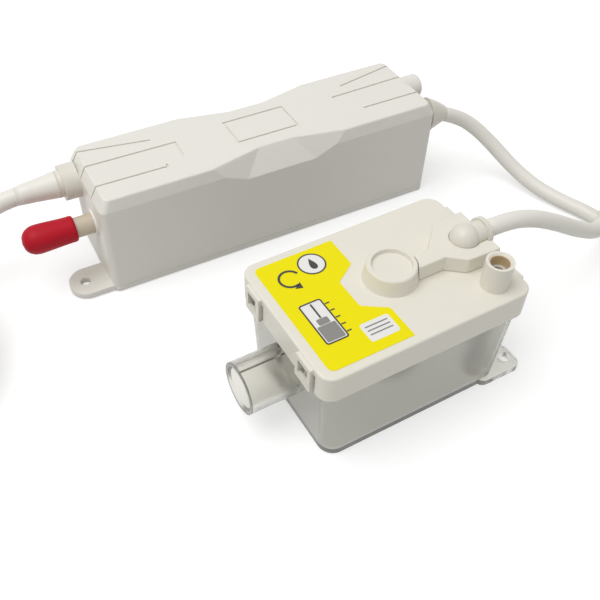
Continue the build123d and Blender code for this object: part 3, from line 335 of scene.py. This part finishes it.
def arc(middle, radius, start=0.0, end=360.0):
    """Points on a circle, middle + r (cos t, sin t); a full one doesn't repeat its first point."""
    angle = np.radians(np.linspace(start, end, ARC_POINTS, endpoint=end - start < 360.0))
    return np.stack([middle[0] + radius * np.cos(angle), middle[1] + radius * np.sin(angle)], axis=1)


def stroke(line, width):
    """Outline of a drawn line: the line moved half its width to each side, square to its run."""
    line = np.asarray(line, float)
    along = np.gradient(line, axis=0)
    along /= np.linalg.norm(along, axis=1, keepdims=True)
    side = np.stack([-along[:, 1], along[:, 0]], axis=1) * width / 2
    return np.concatenate([line - side, (line + side)[::-1]])


def plates(outlines, low, high):
    """Flat closed plates over outlines, between two heights."""
    points = []
    faces = []
    start = 0
    for outline in outlines:
        following = np.roll(outline, -1, axis=0)
        area = np.sum(outline[:, 0] * following[:, 1] - outline[:, 1] * following[:, 0])
        if area < 0:
            # clockwise, so turned round for its faces to point out
            outline = outline[::-1]
        count = len(outline)
        for height in (low, high):
            points.append(np.concatenate([outline, np.full((count, 1), height)], axis=1))
        index = np.arange(count)
        after = (index + 1) % count
        walls = np.stack([index, after, after + count, index + count], axis=1) + start
        faces += walls.tolist()
        faces.append((index[::-1] + start).tolist())
        faces.append((index + count + start).tolist())
        start += 2 * count
    return np.concatenate(points), faces


# ---------------------------------------------------------------- nodes
def link(tree, start, end):
    """Join an output to an input."""
    tree.links.new(start, end)


def fill(tree, socket, value):
    """Give an input a number, or the output that feeds it."""
    if isinstance(value, (int, float)):
        socket.default_value = value
    else:
        link(tree, value, socket)


def math_node(tree, operation, first, second):
    """Maths of two numbers or outputs."""
    node = tree.nodes.new("ShaderNodeMath")
    node.operation = operation
    fill(tree, node.inputs[0], first)
    fill(tree, node.inputs[1], second)
    return node.outputs[0]


def vector_node(tree, operation, vector, other):
    """Vector maths of an output and a fixed vector; a distance comes out as a value."""
    node = tree.nodes.new("ShaderNodeVectorMath")
    node.operation = operation
    link(tree, vector, node.inputs[0])
    node.inputs[1].default_value = other
    return node.outputs["Value" if operation == "DISTANCE" else "Vector"]


def noise_node(tree, vector, scale, detail):
    """Noise with a number or an output as its scale."""
    node = tree.nodes.new("ShaderNodeTexNoise")
    link(tree, vector, node.inputs["Vector"])
    fill(tree, node.inputs["Scale"], scale)
    node.inputs["Detail"].default_value = detail
    return node.outputs[0]


def object_place(tree):
    """Place on the object, which is the place in the part because each piece is at the origin."""
    return tree.nodes.new("ShaderNodeTexCoord").outputs["Object"]


def seen_directly(tree):
    """1 for a ray that shows a thing, directly or in glass or gloss, 0 for one that only lights."""
    ray = tree.nodes.new("ShaderNodeLightPath").outputs
    seen = math_node(tree, "MAXIMUM", ray["Is Camera Ray"], ray["Is Glossy Ray"])
    return math_node(tree, "MAXIMUM", seen, ray["Is Transmission Ray"])


def value_group(name, inputs, outputs):
    """Shader node group that puts out only colours, values and normals."""
    group = bpy.data.node_groups.new(name, "ShaderNodeTree")
    for label, kind, default in inputs:
        socket = group.interface.new_socket(label, in_out="INPUT", socket_type=kind)
        socket.default_value = default
    for label, kind in outputs:
        group.interface.new_socket(label, in_out="OUTPUT", socket_type=kind)
    return group


# noise scales of the drift of tone, per metre: broad clouds and smaller patches
CLOUDS = 34.0
PATCHES = 260.0


def build_skin_group():
    """Moulded skin: a slow drift of tone, a fine grain in the normal and uneven gloss."""
    group = value_group(
        "Moulded skin",
        (
            ("Colour", "NodeSocketColor", (0.8, 0.8, 0.8, 1)),
            ("Drift", "NodeSocketFloat", 0.05),
            ("Grain scale", "NodeSocketFloat", 2200.0),
            ("Grain height", "NodeSocketFloat", 0.00002),
            ("Roughness", "NodeSocketFloat", 0.5),
            ("Roughness spread", "NodeSocketFloat", 0.1),
        ),
        (
            ("Colour", "NodeSocketColor"),
            ("Roughness", "NodeSocketFloat"),
            ("Normal", "NodeSocketVector"),
        ),
    )
    given = group.nodes.new("NodeGroupInput").outputs
    result = group.nodes.new("NodeGroupOutput").inputs
    place = object_place(group)
    clouds = noise_node(group, place, CLOUDS, 3.0)
    patches = noise_node(group, place, PATCHES, 4.0)
    grain = noise_node(group, place, given["Grain scale"], 2.0)
    swing = math_node(group, "SUBTRACT", math_node(group, "ADD", clouds, patches), 1.0)
    tone = math_node(group, "ADD", math_node(group, "MULTIPLY", swing, given["Drift"]), 1.0)
    scale = group.nodes.new("ShaderNodeVectorMath")
    scale.operation = "SCALE"
    link(group, given["Colour"], scale.inputs[0])
    link(group, tone, scale.inputs["Scale"])
    link(group, scale.outputs[0], result["Colour"])
    gloss = math_node(group, "MULTIPLY", swing, given["Roughness spread"])
    link(group, math_node(group, "ADD", gloss, given["Roughness"]), result["Roughness"])
    bump = group.nodes.new("ShaderNodeBump")
    bump.inputs["Strength"].default_value = 1.0
    link(group, given["Grain height"], bump.inputs["Distance"])
    link(group, grain, bump.inputs["Height"])
    link(group, bump.outputs[0], result["Normal"])


# ---------------------------------------------------------------- finishes
def new_material(name):
    """Material with its node tree and its Principled shader."""
    material = bpy.data.materials.new(name)
    material.use_nodes = True
    return material, material.node_tree, material.node_tree.nodes["Principled BSDF"]


def moulded(
    name, colour, rough=0.45, drift=0.05, grain=2200.0, height=0.00002, spread=0.1, **constants
):
    """Material of a moulding or sheath, from the shared skin group."""
    material, tree, shader = new_material(name)
    skin = tree.nodes.new("ShaderNodeGroup")
    skin.node_tree = bpy.data.node_groups["Moulded skin"]
    values = {
        "Colour": (*colour, 1),
        "Drift": drift,
        "Grain scale": grain,
        "Grain height": height,
        "Roughness": rough,
        "Roughness spread": spread,
    }
    for socket, value in values.items():
        skin.inputs[socket].default_value = value
    link(tree, skin.outputs["Colour"], shader.inputs["Base Color"])
    link(tree, skin.outputs["Roughness"], shader.inputs["Roughness"])
    link(tree, skin.outputs["Normal"], shader.inputs["Normal"])
    for socket, value in constants.items():
        shader.inputs[socket.replace("_", " ")].default_value = value
    return material


# the moulded finishes: one for each slot of the record, apart from the fuse's glass, and one for the
# outlet's nozzle; a colour given as a word is the one of that name in the settings
FINISHES = {
    "case_plastic": dict(colour="case", rough=0.42, drift=0.03),
    "lid_plastic": dict(colour="lid", rough=0.40, drift=0.03),
    "fitting_plastic": dict(colour=(0.73, 0.70, 0.62), rough=0.40, drift=0.04),
    "nozzle_plastic": dict(colour=(0.56, 0.48, 0.37), rough=0.38, drift=0.05),
    "cap_rubber": dict(
        colour="cap", rough=0.5, drift=0.08, height=0.00004, grain=900.0, Specular_IOR_Level=0.18
    ),
    "cable_grey": dict(colour="cable", rough=0.42, drift=0.03, grain=1500.0),
    "cable_white": dict(colour="cable", rough=0.42, drift=0.03, grain=1500.0),
    "steel": dict(colour=(0.60, 0.60, 0.60), rough=0.28, drift=0.04, Metallic=1.0),
    "zinc_screw": dict(colour=(0.62, 0.62, 0.60), rough=0.38, drift=0.08, Metallic=1.0),
    "yoke_steel": dict(colour=(0.45, 0.46, 0.48), rough=0.4, drift=0.1, Metallic=1.0),
    "copper_winding": dict(colour=(0.58, 0.26, 0.12), rough=0.35, drift=0.1, Metallic=0.8),
    "bobbin_nylon": dict(colour=(0.03, 0.03, 0.03), rough=0.5),
    "head_plastic": dict(colour=(0.12, 0.125, 0.13), rough=0.5),
    "valve_rubber": dict(colour=(0.02, 0.02, 0.02), rough=0.6),
    "isolator_rubber": dict(colour=(0.025, 0.025, 0.025), rough=0.65),
    "hose_silicone": dict(colour=(0.62, 0.61, 0.57), rough=0.35),
    "board_green": dict(colour=(0.01, 0.11, 0.04), rough=0.3),
    "component_black": dict(colour=(0.02, 0.02, 0.02), rough=0.5),
    "component_blue": dict(colour=(0.03, 0.08, 0.3), rough=0.25),
    "terminal_green": dict(colour=(0.03, 0.2, 0.06), rough=0.4),
    "float_foam": dict(colour=(0.20, 0.20, 0.20), rough=0.8, drift=0.2, grain=700.0, height=0.0001),
    "magnet": dict(colour=(0.05, 0.05, 0.055), rough=0.5),
    "seal_rubber": dict(colour=(0.10, 0.10, 0.10), rough=0.6),
    "core_wire": dict(colour=(0.16, 0.09, 0.05), rough=0.4),
    "clear_plastic": dict(
        colour="tank", rough=0.20, drift=0.02, spread=0.03, Transmission_Weight=0.95, IOR=1.49
    ),
}
BORE_TAN = (0.62, 0.47, 0.28, 1)
PALE_PLASTIC = (0.84, 0.83, 0.78, 1)
# the spigot lies left of this place, and the tank's foot below this height
SPIGOT_RIGHT = -0.0405
FOOT_TOP = 0.0032


def tint_where(material, mask, colour):
    """Another base colour where the mask is 1."""
    tree = material.node_tree
    base = tree.nodes["Principled BSDF"].inputs["Base Color"]
    mix = tree.nodes.new("ShaderNodeMix")
    mix.data_type = "RGBA"
    # of a mix of colours: 0 is the factor, 6 and 7 the two colours, and 2 the result
    link(tree, mask, mix.inputs[0])
    link(tree, base.links[0].from_socket, mix.inputs[6])
    mix.inputs[7].default_value = colour
    link(tree, mix.outputs[2], base)


def tint_vent(material):
    """Tan plastic in the vent's bore, which runs down into the dark."""
    tree = material.node_tree
    level = vector_node(tree, "MULTIPLY", object_place(tree), (1, 1, 0))
    away = vector_node(tree, "DISTANCE", level, (VENT_X, VENT_Y, 0))
    tint_where(material, math_node(tree, "LESS_THAN", away, VENT_BORE), BORE_TAN)


def tint_tank(material):
    """Paler spigot and foot, because they are seen through less plastic than the walls."""
    tree = material.node_tree
    place = tree.nodes.new("ShaderNodeSeparateXYZ")
    link(tree, object_place(tree), place.inputs[0])
    spigot = math_node(tree, "LESS_THAN", place.outputs["X"], SPIGOT_RIGHT)
    foot = math_node(tree, "LESS_THAN", place.outputs["Z"], FOOT_TOP)
    tint_where(material, math_node(tree, "MAXIMUM", spigot, foot), PALE_PLASTIC)


def build_fuse_glass():
    """Plain clear glass of the fuse."""
    shader = new_material("fuse_glass finish")[2]
    shader.inputs["Base Color"].default_value = (0.85, 0.85, 0.82, 1)
    shader.inputs["Transmission Weight"].default_value = 0.9
    shader.inputs["Roughness"].default_value = 0.05


class PUMP_OT_finishes(bpy.types.Operator):
    """Give every node of the part its material."""

    bl_idname = "pump.finishes"
    bl_label = "Finishes"

    def execute(self, context):
        build_skin_group()
        for slot, words in FINISHES.items():
            colour = words["colour"]
            if isinstance(colour, str):
                colour = getattr(context.scene.pump_finish, colour)
            moulded(f"{slot} finish", **{**words, "colour": colour})
        tint_vent(finish_of("lid_plastic"))
        tint_tank(finish_of("clear_plastic"))
        build_fuse_glass()
        slots = {row["node"]: row["material_slot"] for row in frame["record"]["subparts"]}
        slots["outlet_nozzle"] = "nozzle_plastic"
        for name, node in frame["nodes"].items():
            node.data.materials[0] = finish_of(slots[name])
        return {"FINISHED"}


# ---------------------------------------------------------------- mains cable
# from the gland's tail down to the floor, then the coil, and at last the run to the cores
MAINS_ROUTE = np.array(
    (
        (-0.0900, 0.0115, 0.0348),
        (-0.0990, 0.0115, 0.0348),
        (-0.1086, 0.0112, 0.0322),
        (-0.1170, 0.0116, 0.0269),
        (-0.1240, 0.0124, 0.0198),
        (-0.1312, 0.0134, 0.0129),
        (-0.1397, 0.0144, 0.0076),
        (-0.1492, 0.0151, 0.0046),
        (-0.1586, 0.01525, 0.0036),
    )
)
MAINS_COIL_MIDDLE = (-0.1665, -0.0250)
MAINS_COIL_START = 90.0
MAINS_COIL_TURNS = 6.14
MAINS_COIL_SLOTS = (*COIL_SLOTS, (5.75, 3.5, 0.0))
MAINS_END = np.array(((-0.20325, -0.007, 0.0245), (-0.20325, -0.017, 0.0245)))

# sheath over the gland's tail: the ends of its cone, the radius at each end and how fast it falls
# between them, then the length in which it eases down to just under the cable's skin
RELIEF_START_X = -0.0802
RELIEF_END_X = -0.0899
RELIEF_START_RADIUS = 0.0053
RELIEF_END_RADIUS = 0.00426
RELIEF_TAPER = 0.107
RELIEF_RINGS = 12
RELIEF_EASE = 0.0085
RELIEF_SINK = 0.00003


def relief_line(path, cable_radius):
    """Path and radii of the mains relief.

    A straight cone lies on the gland's level axis, at the height of the cable's first point. Then
    the radius eases down along the cable by (1 - cos pi s) / 2.
    """
    cone = np.repeat(MAINS_ROUTE[:1], RELIEF_RINGS, axis=0)
    cone[:, 0] = np.linspace(RELIEF_START_X, RELIEF_END_X, RELIEF_RINGS)
    cone_radius = RELIEF_START_RADIUS - (RELIEF_START_X - cone[:, 0]) * RELIEF_TAPER
    reach = np.concatenate([[0.0], np.cumsum(np.linalg.norm(np.diff(path, axis=0), axis=1))])
    lead = reach < RELIEF_EASE
    ease = (1 - np.cos(pi * reach[lead] / RELIEF_EASE)) / 2
    lead_radius = RELIEF_END_RADIUS + ease * (cable_radius - RELIEF_SINK - RELIEF_END_RADIUS)
    return np.concatenate([cone, path[lead]]), np.concatenate([cone_radius, lead_radius])


class PUMP_OT_mains_cord(bpy.types.Operator):
    """Mains cable: from its gland, wound into a coil, to its bare cores."""

    bl_idname = "pump.mains_cord"
    bl_label = "Mains cable"

    def execute(self, context):
        cords = context.scene.pump_cords
        d = cords.mains_diameter
        turns = coil_turns(
            MAINS_COIL_MIDDLE,
            d,
            MAINS_COIL_START,
            MAINS_COIL_TURNS,
            MAINS_COIL_SLOTS,
            cords.turn_points,
        )
        path = nurbs_path("mains_cord", np.concatenate([MAINS_ROUTE, turns, MAINS_END]))
        piece = add_tube("mains_cord", path, d / 2, cords.sides, "root", "cable_white")
        line, radius = relief_line(path, d / 2)
        add_tube("mains_relief", line, radius, 2 * cords.sides, "root", "cable_white")
        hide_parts("mains_cable", "mains_cable_coil")
        return {"FINISHED"}


# ---------------------------------------------------------------- sensor cable
# from the pump's hood down to the floor, then the coil, and at last the run up to the lid
SENSOR_ROUTE = np.array(
    (
        (0.0805, -0.0135, 0.0338),
        (0.0882, -0.0135, 0.03037),
        (0.0966, -0.0162, 0.0252),
        (0.1043, -0.0230, 0.0170),
        (0.1100, -0.0335, 0.0088),
        (0.1148, -0.0455, 0.0041),
        (0.1200, -0.0585, 0.0031),
        (0.1245, -0.0690, 0.0031),
        (0.1258, -0.0785, 0.0031),
        (0.1256, -0.0880, 0.0031),
    )
)
SENSOR_COIL_MIDDLE = (0.1610, -0.0980)
SENSOR_COIL_START = 180.0
SENSOR_COIL_TURNS = 5.78
SENSOR_RISE = np.array(
    (
        (0.1410, -0.0664, 0.0156),
        (0.1270, -0.0745, 0.0158),
        (0.1135, -0.0850, 0.0172),
        (0.1000, -0.0926, 0.0214),
        (0.0855, -0.0944, 0.0299),
        (0.0715, -0.0952, 0.0395),
        (0.0585, -0.0950, 0.0466),
        (0.0470, -0.09474, 0.0496),
        (0.03685, -0.09513, 0.0496),
    )
)


class PUMP_OT_sensor_cord(bpy.types.Operator):
    """Sensor cable: from the pump's hood, through a coil, up to the gland on the lid."""

    bl_idname = "pump.sensor_cord"
    bl_label = "Sensor cable"

    def execute(self, context):
        cords = context.scene.pump_cords
        d = cords.sensor_diameter
        turns = coil_turns(
            SENSOR_COIL_MIDDLE,
            d,
            SENSOR_COIL_START,
            SENSOR_COIL_TURNS,
            COIL_SLOTS,
            cords.turn_points,
        )
        path = nurbs_path("sensor_cord", np.concatenate([SENSOR_ROUTE, turns, SENSOR_RISE]))
        piece = add_tube("sensor_cord", path, d / 2, cords.sides, None, "cable_grey")
        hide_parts("sensor_cable", "sensor_cable_coil", "sensor_cable_lid")
        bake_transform(piece)
        return {"FINISHED"}


# ---------------------------------------------------------------- dust cap
CAP_LENGTH = 0.0201
CAP_OPEN_X = -0.0802
CAP_Y = -0.0055
CAP_Z = 0.0259
CAP_SIDES = 64
WALL_ROWS = 24
# the dome: its length, the power p of its round, where 2 is an ellipse and more is squarer, and rows
DOME_LENGTH = 0.0062
DOME_POWER = 2.2
DOME_ROWS = 22
CAP_BORE = 0.00402
CAP_BORE_DEPTH = 0.0149
# bevels of the open rim, along the cap and across it, outside and inside
RIM_OUTSIDE = (0.0006, 0.0004)
RIM_INSIDE = (0.0003, 0.0002)
# radius of the small faces that close the dome and the bore
POLE_RADIUS = 0.00002
# low waves round the cap: how many, how high beside each other, and in radians where each starts
# at the rim and how far it turns up to the tip
CAP_WAVES = ((2, 1.0, 0.9, 1.5), (3, 0.8, -0.5, -2.5))


class PUMP_OT_dust_cap(bpy.types.Operator):
    """Soft cap: radius (R + s sin^2(pi u / 2m)) over a wall of length m, times (1 - v^p)^(1/p).

    Here u is the way along the cap, and v goes from 0 to 1 along its dome. The outer wall has low
    waves, cos (k t + start + twist), that turn slowly along it and fade to both its ends. The
    inner wall is a plain tube round the nozzle.
    """

    bl_idname = "pump.dust_cap"
    bl_label = "Dust cap"

    def execute(self, context):
        chosen = context.scene.pump_cap
        wall = CAP_LENGTH - DOME_LENGTH
        dome = CAP_LENGTH - DOME_LENGTH * np.cos(np.linspace(0, pi / 2, DOME_ROWS)[1:])
        u = np.concatenate([[0.0], np.linspace(RIM_OUTSIDE[0], wall, WALL_ROWS), dome])
        full = chosen.radius + chosen.swell * np.sin(np.minimum(u / wall, 1) * pi / 2) ** 2
        v = np.clip((u - wall) / DOME_LENGTH, 0, 1)
        radius = full * (1 - v**DOME_POWER) ** (1 / DOME_POWER)
        radius[0] -= RIM_OUTSIDE[1]
        radius[-1] = POLE_RADIUS
        turn = np.linspace(0, 2 * pi, CAP_SIDES, endpoint=False)
        rate = (u / CAP_LENGTH)[:, None]
        wave = sum(
            high * np.cos(k * turn + start + twist * rate) for k, high, start, twist in CAP_WAVES
        )
        wave = wave * chosen.crease * np.sin(np.clip(rate * pi, 0, pi)) ** 0.7
        outer = radius[:, None] + wave * np.minimum(1, radius[:, None] / chosen.radius)
        inner_u = np.array([0.0, RIM_INSIDE[0], CAP_BORE_DEPTH, CAP_BORE_DEPTH])
        inner_radius = np.array([CAP_BORE + RIM_INSIDE[1], CAP_BORE, CAP_BORE, POLE_RADIUS])
        across = np.concatenate([outer[::-1], np.repeat(inner_radius[:, None], CAP_SIDES, axis=1)])
        along = np.concatenate([u[::-1], inner_u])[:, None] + np.zeros(CAP_SIDES)
        points = np.stack(
            [CAP_OPEN_X - along, CAP_Y + across * np.cos(turn), CAP_Z + across * np.sin(turn)],
            axis=2,
        )
        # the rings run from the tip over the rim into the bore, so a tube's faces are turned round
        faces = [face[::-1] for face in tube_faces(len(points), CAP_SIDES)]
        cap = add_piece("dust_cap", points, faces, "cap", finish_of("cap_rubber"))
        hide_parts("outlet_cap")
        return {"FINISHED"}


# ---------------------------------------------------------------- soft edges
SOFT_PLATES = (
    ("sensor_cover", "lid", "lid_plastic"),
    ("base_plate", "root", "case_plastic"),
)
# doubles closer than the gap are merged, faces that turn less than the first angle are joined, and
# edges that turn more than the second are rounded
MERGE_GAP = 0.000005
FLAT_WITHIN = radians(1.5)
SHARP_FROM = radians(35)
ROUND_STEPS = 3


class PUMP_OT_soft_edges(bpy.types.Operator):
    """Merged copies of the plates with sharp edges: flat faces joined, then each edge rounded."""

    bl_idname = "pump.soft_edges"
    bl_label = "Soft edges"

    def execute(self, context):
        for node, body, slot in SOFT_PLATES:
            source = frame["nodes"][node]
            shape = bmesh.new()
            shape.from_mesh(source.data)
            shape.transform(source.matrix_world)
            bmesh.ops.remove_doubles(shape, verts=shape.verts, dist=MERGE_GAP)
            bmesh.ops.dissolve_limit(
                shape, angle_limit=FLAT_WITHIN, verts=shape.verts, edges=shape.edges
            )
            mesh = bpy.data.meshes.new(f"{node}_soft")
            shape.to_mesh(mesh)
            shape.free()
            mesh.materials.append(finish_of(slot))
            piece = bpy.data.objects.new(f"{node}_soft", mesh)
            context.scene.collection.objects.link(piece)
            bevel = piece.modifiers.new("soft edge", "BEVEL")
            bevel.width = context.scene.pump_finish.edge
            bevel.segments = ROUND_STEPS
            bevel.limit_method = "ANGLE"
            bevel.angle_limit = SHARP_FROM
            bevel.use_clamp_overlap = False
            bevel.harden_normals = True
            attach(piece, body)
            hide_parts(node)
        return {"FINISHED"}


# ---------------------------------------------------------------- label
# the drawings are in millimetres from the middle of the lid
MM = 0.001
# the sticker stands this far off the lid, and each print this far over the one below
LABEL_GAP = 0.00002
PRINT_HEIGHT = 0.00004
LABEL_EDGE = (
    (-35.75, -23.95),
    (-5.85, -23.95),
    (-5.85, -11.20),
    (-13.85, -5.90),
    (-13.85, 5.90),
    (-5.85, 11.20),
    (-5.85, 23.95),
    (-35.75, 23.95),
)
LABEL_CORNERS = (2.6, 0.4, 0.8, 0.8, 0.8, 0.8, 0.4, 2.6)
DISC_MIDDLE = (-17.4, 17.3)
DISC_RADIUS = 4.6
DROP_X = -17.2
DROP_HALF_WIDTH = 1.75
DROP_HALF_HEIGHT = 2.6
LINE_WIDTH = 0.5


def label_grounds():
    """The white grounds under the drawings: a disc, a gauge and a pad."""
    disc = arc(DISC_MIDDLE, DISC_RADIUS)
    gauge = rounded_box(-31.0, -23.4, -14.6, 2.6, 0.9)
    pad = rounded_box(-18.8, -8.2, -20.2, -12.6, 1.2)
    return disc, gauge, pad


def label_greys():
    """Water and float in the gauge, and three lines on the pad."""
    water = rounded_box(-30.4, -24.0, -14.0, -7.4, 0.5)
    float_bar = rounded_box(-29.2, -25.2, -7.2, -4.6, 0.6)
    lines = [stroke(((-17.6, y), (-14.0, y), (-9.4, y)), LINE_WIDTH) for y in (-14.4, -16.0, -17.6)]
    return [water, float_bar, *lines]


def label_inks(gauge):
    """A drop in the disc and the disc's rim, the stem, rim and ticks of the gauge, and an arrow.

    The drop is x = w sin t (sin t/2)^1.4, y = h cos t about its own middle.
    """
    t = np.linspace(0, 2 * pi, ARC_POINTS, endpoint=False)
    drop_x = DROP_X + DROP_HALF_WIDTH * np.sin(t) * np.sin(t / 2) ** 1.4
    drop = np.stack([drop_x, DISC_MIDDLE[1] + DROP_HALF_HEIGHT * np.cos(t)], axis=1)
    stem = rounded_box(-27.5, -26.9, -4.4, 1.9, 0.1)
    rim = stroke(arc(DISC_MIDDLE, DISC_RADIUS, 0, 359), LINE_WIDTH)
    gauge_rim = stroke(np.concatenate([gauge, gauge[:1]]), LINE_WIDTH)
    arrow = stroke(arc((-27.2, 14.6), 3.6, 20, 290), 0.8)
    arrow_head = np.array(((-25.1, 12.0), (-27.8, 10.0), (-25.3, 9.2)))
    heights = (-12.8, -9.6, -6.4, -3.2, 0.0)
    ticks = [stroke(((-23.0, y), (-22.3, y), (-21.4, y)), 0.45) for y in heights]
    return [drop, stem, rim, gauge_rim, arrow, arrow_head, *ticks]


class PUMP_OT_label(bpy.types.Operator):
    """Printed sticker on the lid: a ground with plain drawings of water, a level and a flow."""

    bl_idname = "pump.label"
    bl_label = "Label"

    def execute(self, context):
        chosen = context.scene.pump_label
        print_look = moulded(
            "label_print", chosen.yellow, rough=0.4, drift=0.03, grain=900.0, Specular_IOR_Level=0.12
        )
        white = moulded("label_white", (0.80, 0.79, 0.77), rough=0.34, drift=0.02)
        grey = moulded("label_grey", (0.24, 0.235, 0.225), rough=0.34, drift=0.05)
        ink = moulded("label_ink", chosen.ink, rough=0.34, drift=0.05)
        disc, gauge, pad = label_grounds()
        top = LID_TOP + chosen.thickness
        # each layer reaches from one of these heights to the next
        levels = [LID_TOP + LABEL_GAP] + [top + step * PRINT_HEIGHT for step in range(4)]
        layers = (
            ("label_ground", [rounded(LABEL_EDGE, LABEL_CORNERS)], print_look),
            ("label_white", [disc, gauge, pad], white),
            ("label_grey", label_greys(), grey),
            ("label_ink", label_inks(gauge), ink),
        )
        for (name, outlines, material), low, high in zip(layers, levels, levels[1:]):
            points, faces = plates([outline * MM for outline in outlines], low, high)
            add_piece(name, tank_place(points), faces, "lid", material, False)
        return {"FINISHED"}


# ---------------------------------------------------------------- stage
FLOOR_TONE = (0.62, 0.62, 0.62, 1)
# half the floor's side, its grid lines each way, and how far it lies under the part
FLOOR_HALF = 3.0
FLOOR_LINES = 9
FLOOR_DEPTH = 0.0002
# glow of the floor at its middle, and how much it gains with each metre outwards
GLOW_MIDDLE = 0.47
GLOW_GAIN = 0.22
WHITE = (1, 1, 1, 1)

LAMP_PLACE = (-0.50, 0.0, 1.30)
LAMP_TURN = (radians(-2), radians(-21), 0)
LAMP_SIZE = 1.1

CAMERA_PLACE = (-0.11419, -0.23625, 0.22348)
CAMERA_TURN = (radians(90 - 46.25), 0, radians(-26.63))
CAMERA_SHIFT_X = 0.054
CAMERA_SHIFT_Y = -0.017


def floor_paper():
    """Matt pale paper whose glow only reaches rays that see it, and grows with the distance."""
    material, tree, shader = new_material("floor_paper")
    shader.inputs["Base Color"].default_value = FLOOR_TONE
    shader.inputs["Roughness"].default_value = 0.9
    shader.inputs["Specular IOR Level"].default_value = 0.0
    glow = tree.nodes.new("ShaderNodeEmission")
    glow.inputs["Color"].default_value = WHITE
    away = vector_node(tree, "DISTANCE", object_place(tree), (0, 0, 0))
    gain = math_node(tree, "MULTIPLY", away, GLOW_GAIN)
    strength = math_node(tree, "ADD", gain, GLOW_MIDDLE)
    link(tree, math_node(tree, "MULTIPLY", seen_directly(tree), strength), glow.inputs["Strength"])
    both = tree.nodes.new("ShaderNodeAddShader")
    link(tree, shader.outputs[0], both.inputs[0])
    link(tree, glow.outputs[0], both.inputs[1])
    link(tree, both.outputs[0], tree.nodes["Material Output"].inputs["Surface"])
    return material


def add_floor():
    """Flat grid just under the part."""
    reach = np.linspace(-FLOOR_HALF, FLOOR_HALF, FLOOR_LINES)
    across, along = np.meshgrid(reach, reach, indexing="ij")
    points = np.stack([across, along, np.full_like(across, -FLOOR_DEPTH)], axis=2)
    faces = grid_faces(FLOOR_LINES, FLOOR_LINES, False)[:, ::-1].tolist()
    return add_piece("floor", points, faces, None, floor_paper(), False)


def add_sky(scene, strength):
    """Even light from all round, which looks white where it is seen."""
    world = bpy.data.worlds.new("Pump sky")
    world.use_nodes = True
    tree = world.node_tree
    sky = tree.nodes["Background"]
    sky.inputs["Color"].default_value = WHITE
    extra = math_node(tree, "MULTIPLY", seen_directly(tree), 1.0 - strength)
    link(tree, math_node(tree, "ADD", extra, strength), sky.inputs["Strength"])
    scene.world = world


def add_lamp(scene, power):
    """One large round lamp overhead, to the left."""
    lamp = bpy.data.lights.new("key", "AREA")
    lamp.shape = "DISK"
    lamp.size = LAMP_SIZE
    lamp.energy = power
    key = bpy.data.objects.new("key", lamp)
    key.location = LAMP_PLACE
    key.rotation_euler = Euler(LAMP_TURN)
    scene.collection.objects.link(key)


def add_camera(scene, focal_length):
    """Camera above the near left of the part."""
    lens = bpy.data.cameras.new("camera")
    lens.sensor_width = 36.0
    lens.lens = focal_length
    lens.shift_x = CAMERA_SHIFT_X
    lens.shift_y = CAMERA_SHIFT_Y
    lens.clip_start = 0.01
    camera = bpy.data.objects.new("camera", lens)
    camera.location = CAMERA_PLACE
    camera.rotation_euler = Euler(CAMERA_TURN)
    scene.collection.objects.link(camera)
    scene.camera = camera


class PUMP_OT_stage(bpy.types.Operator):
    """Pale floor, even sky, one large lamp overhead and the camera."""

    bl_idname = "pump.stage"
    bl_label = "Stage"

    def execute(self, context):
        scene = context.scene
        stage = scene.pump_stage
        add_floor()
        add_sky(scene, stage.sky)
        add_lamp(scene, stage.key_power)
        add_camera(scene, stage.lens)
        scene.view_settings.view_transform = "Standard"
        return {"FINISHED"}


# ---------------------------------------------------------------- add-on
class PUMP_PT_panel(bpy.types.Panel):
    """Lists the pieces of the pump's looks."""

    bl_label = "Condensate pump"
    bl_space_type = "VIEW_3D"
    bl_region_type = "UI"
    bl_category = "Pump"

    def draw(self, context):
        for operator in OPERATORS:
            self.layout.operator(operator.bl_idname)
        for group in SETTINGS:
            settings = getattr(context.scene, group)
            box = self.layout.box()
            for name in settings.__annotations__:
                box.prop(settings, name)


OPERATORS = (
    PUMP_OT_finishes,
    PUMP_OT_mains_cord,
    PUMP_OT_sensor_cord,
    PUMP_OT_dust_cap,
    PUMP_OT_soft_edges,
    PUMP_OT_label,
    PUMP_OT_stage,
)
SETTINGS = {
    "pump_cords": PUMP_CordSettings,
    "pump_cap": PUMP_CapSettings,
    "pump_label": PUMP_LabelSettings,
    "pump_finish": PUMP_FinishSettings,
    "pump_stage": PUMP_StageSettings,
}


def register():
    """Make the settings, the operators and the panel known to Blender."""
    for name, group in SETTINGS.items():
        bpy.utils.register_class(group)
        setattr(bpy.types.Scene, name, bpy.props.PointerProperty(type=group))
    for part in (*OPERATORS, PUMP_PT_panel):
        bpy.utils.register_class(part)


def unregister():
    """Take away what register made known."""
    for part in reversed((*OPERATORS, PUMP_PT_panel)):
        bpy.utils.unregister_class(part)
    for name, group in reversed(SETTINGS.items()):
        delattr(bpy.types.Scene, name)
        bpy.utils.unregister_class(group)


def main():
    """Build the looks in order."""
    register()
    bpy.ops.pump.finishes()
    bpy.ops.pump.mains_cord()
    bpy.ops.pump.sensor_cord()
    bpy.ops.pump.dust_cap()
    bpy.ops.pump.soft_edges()
    bpy.ops.pump.label()
    bpy.ops.pump.stage()


if __name__ == "__main__":
    main()
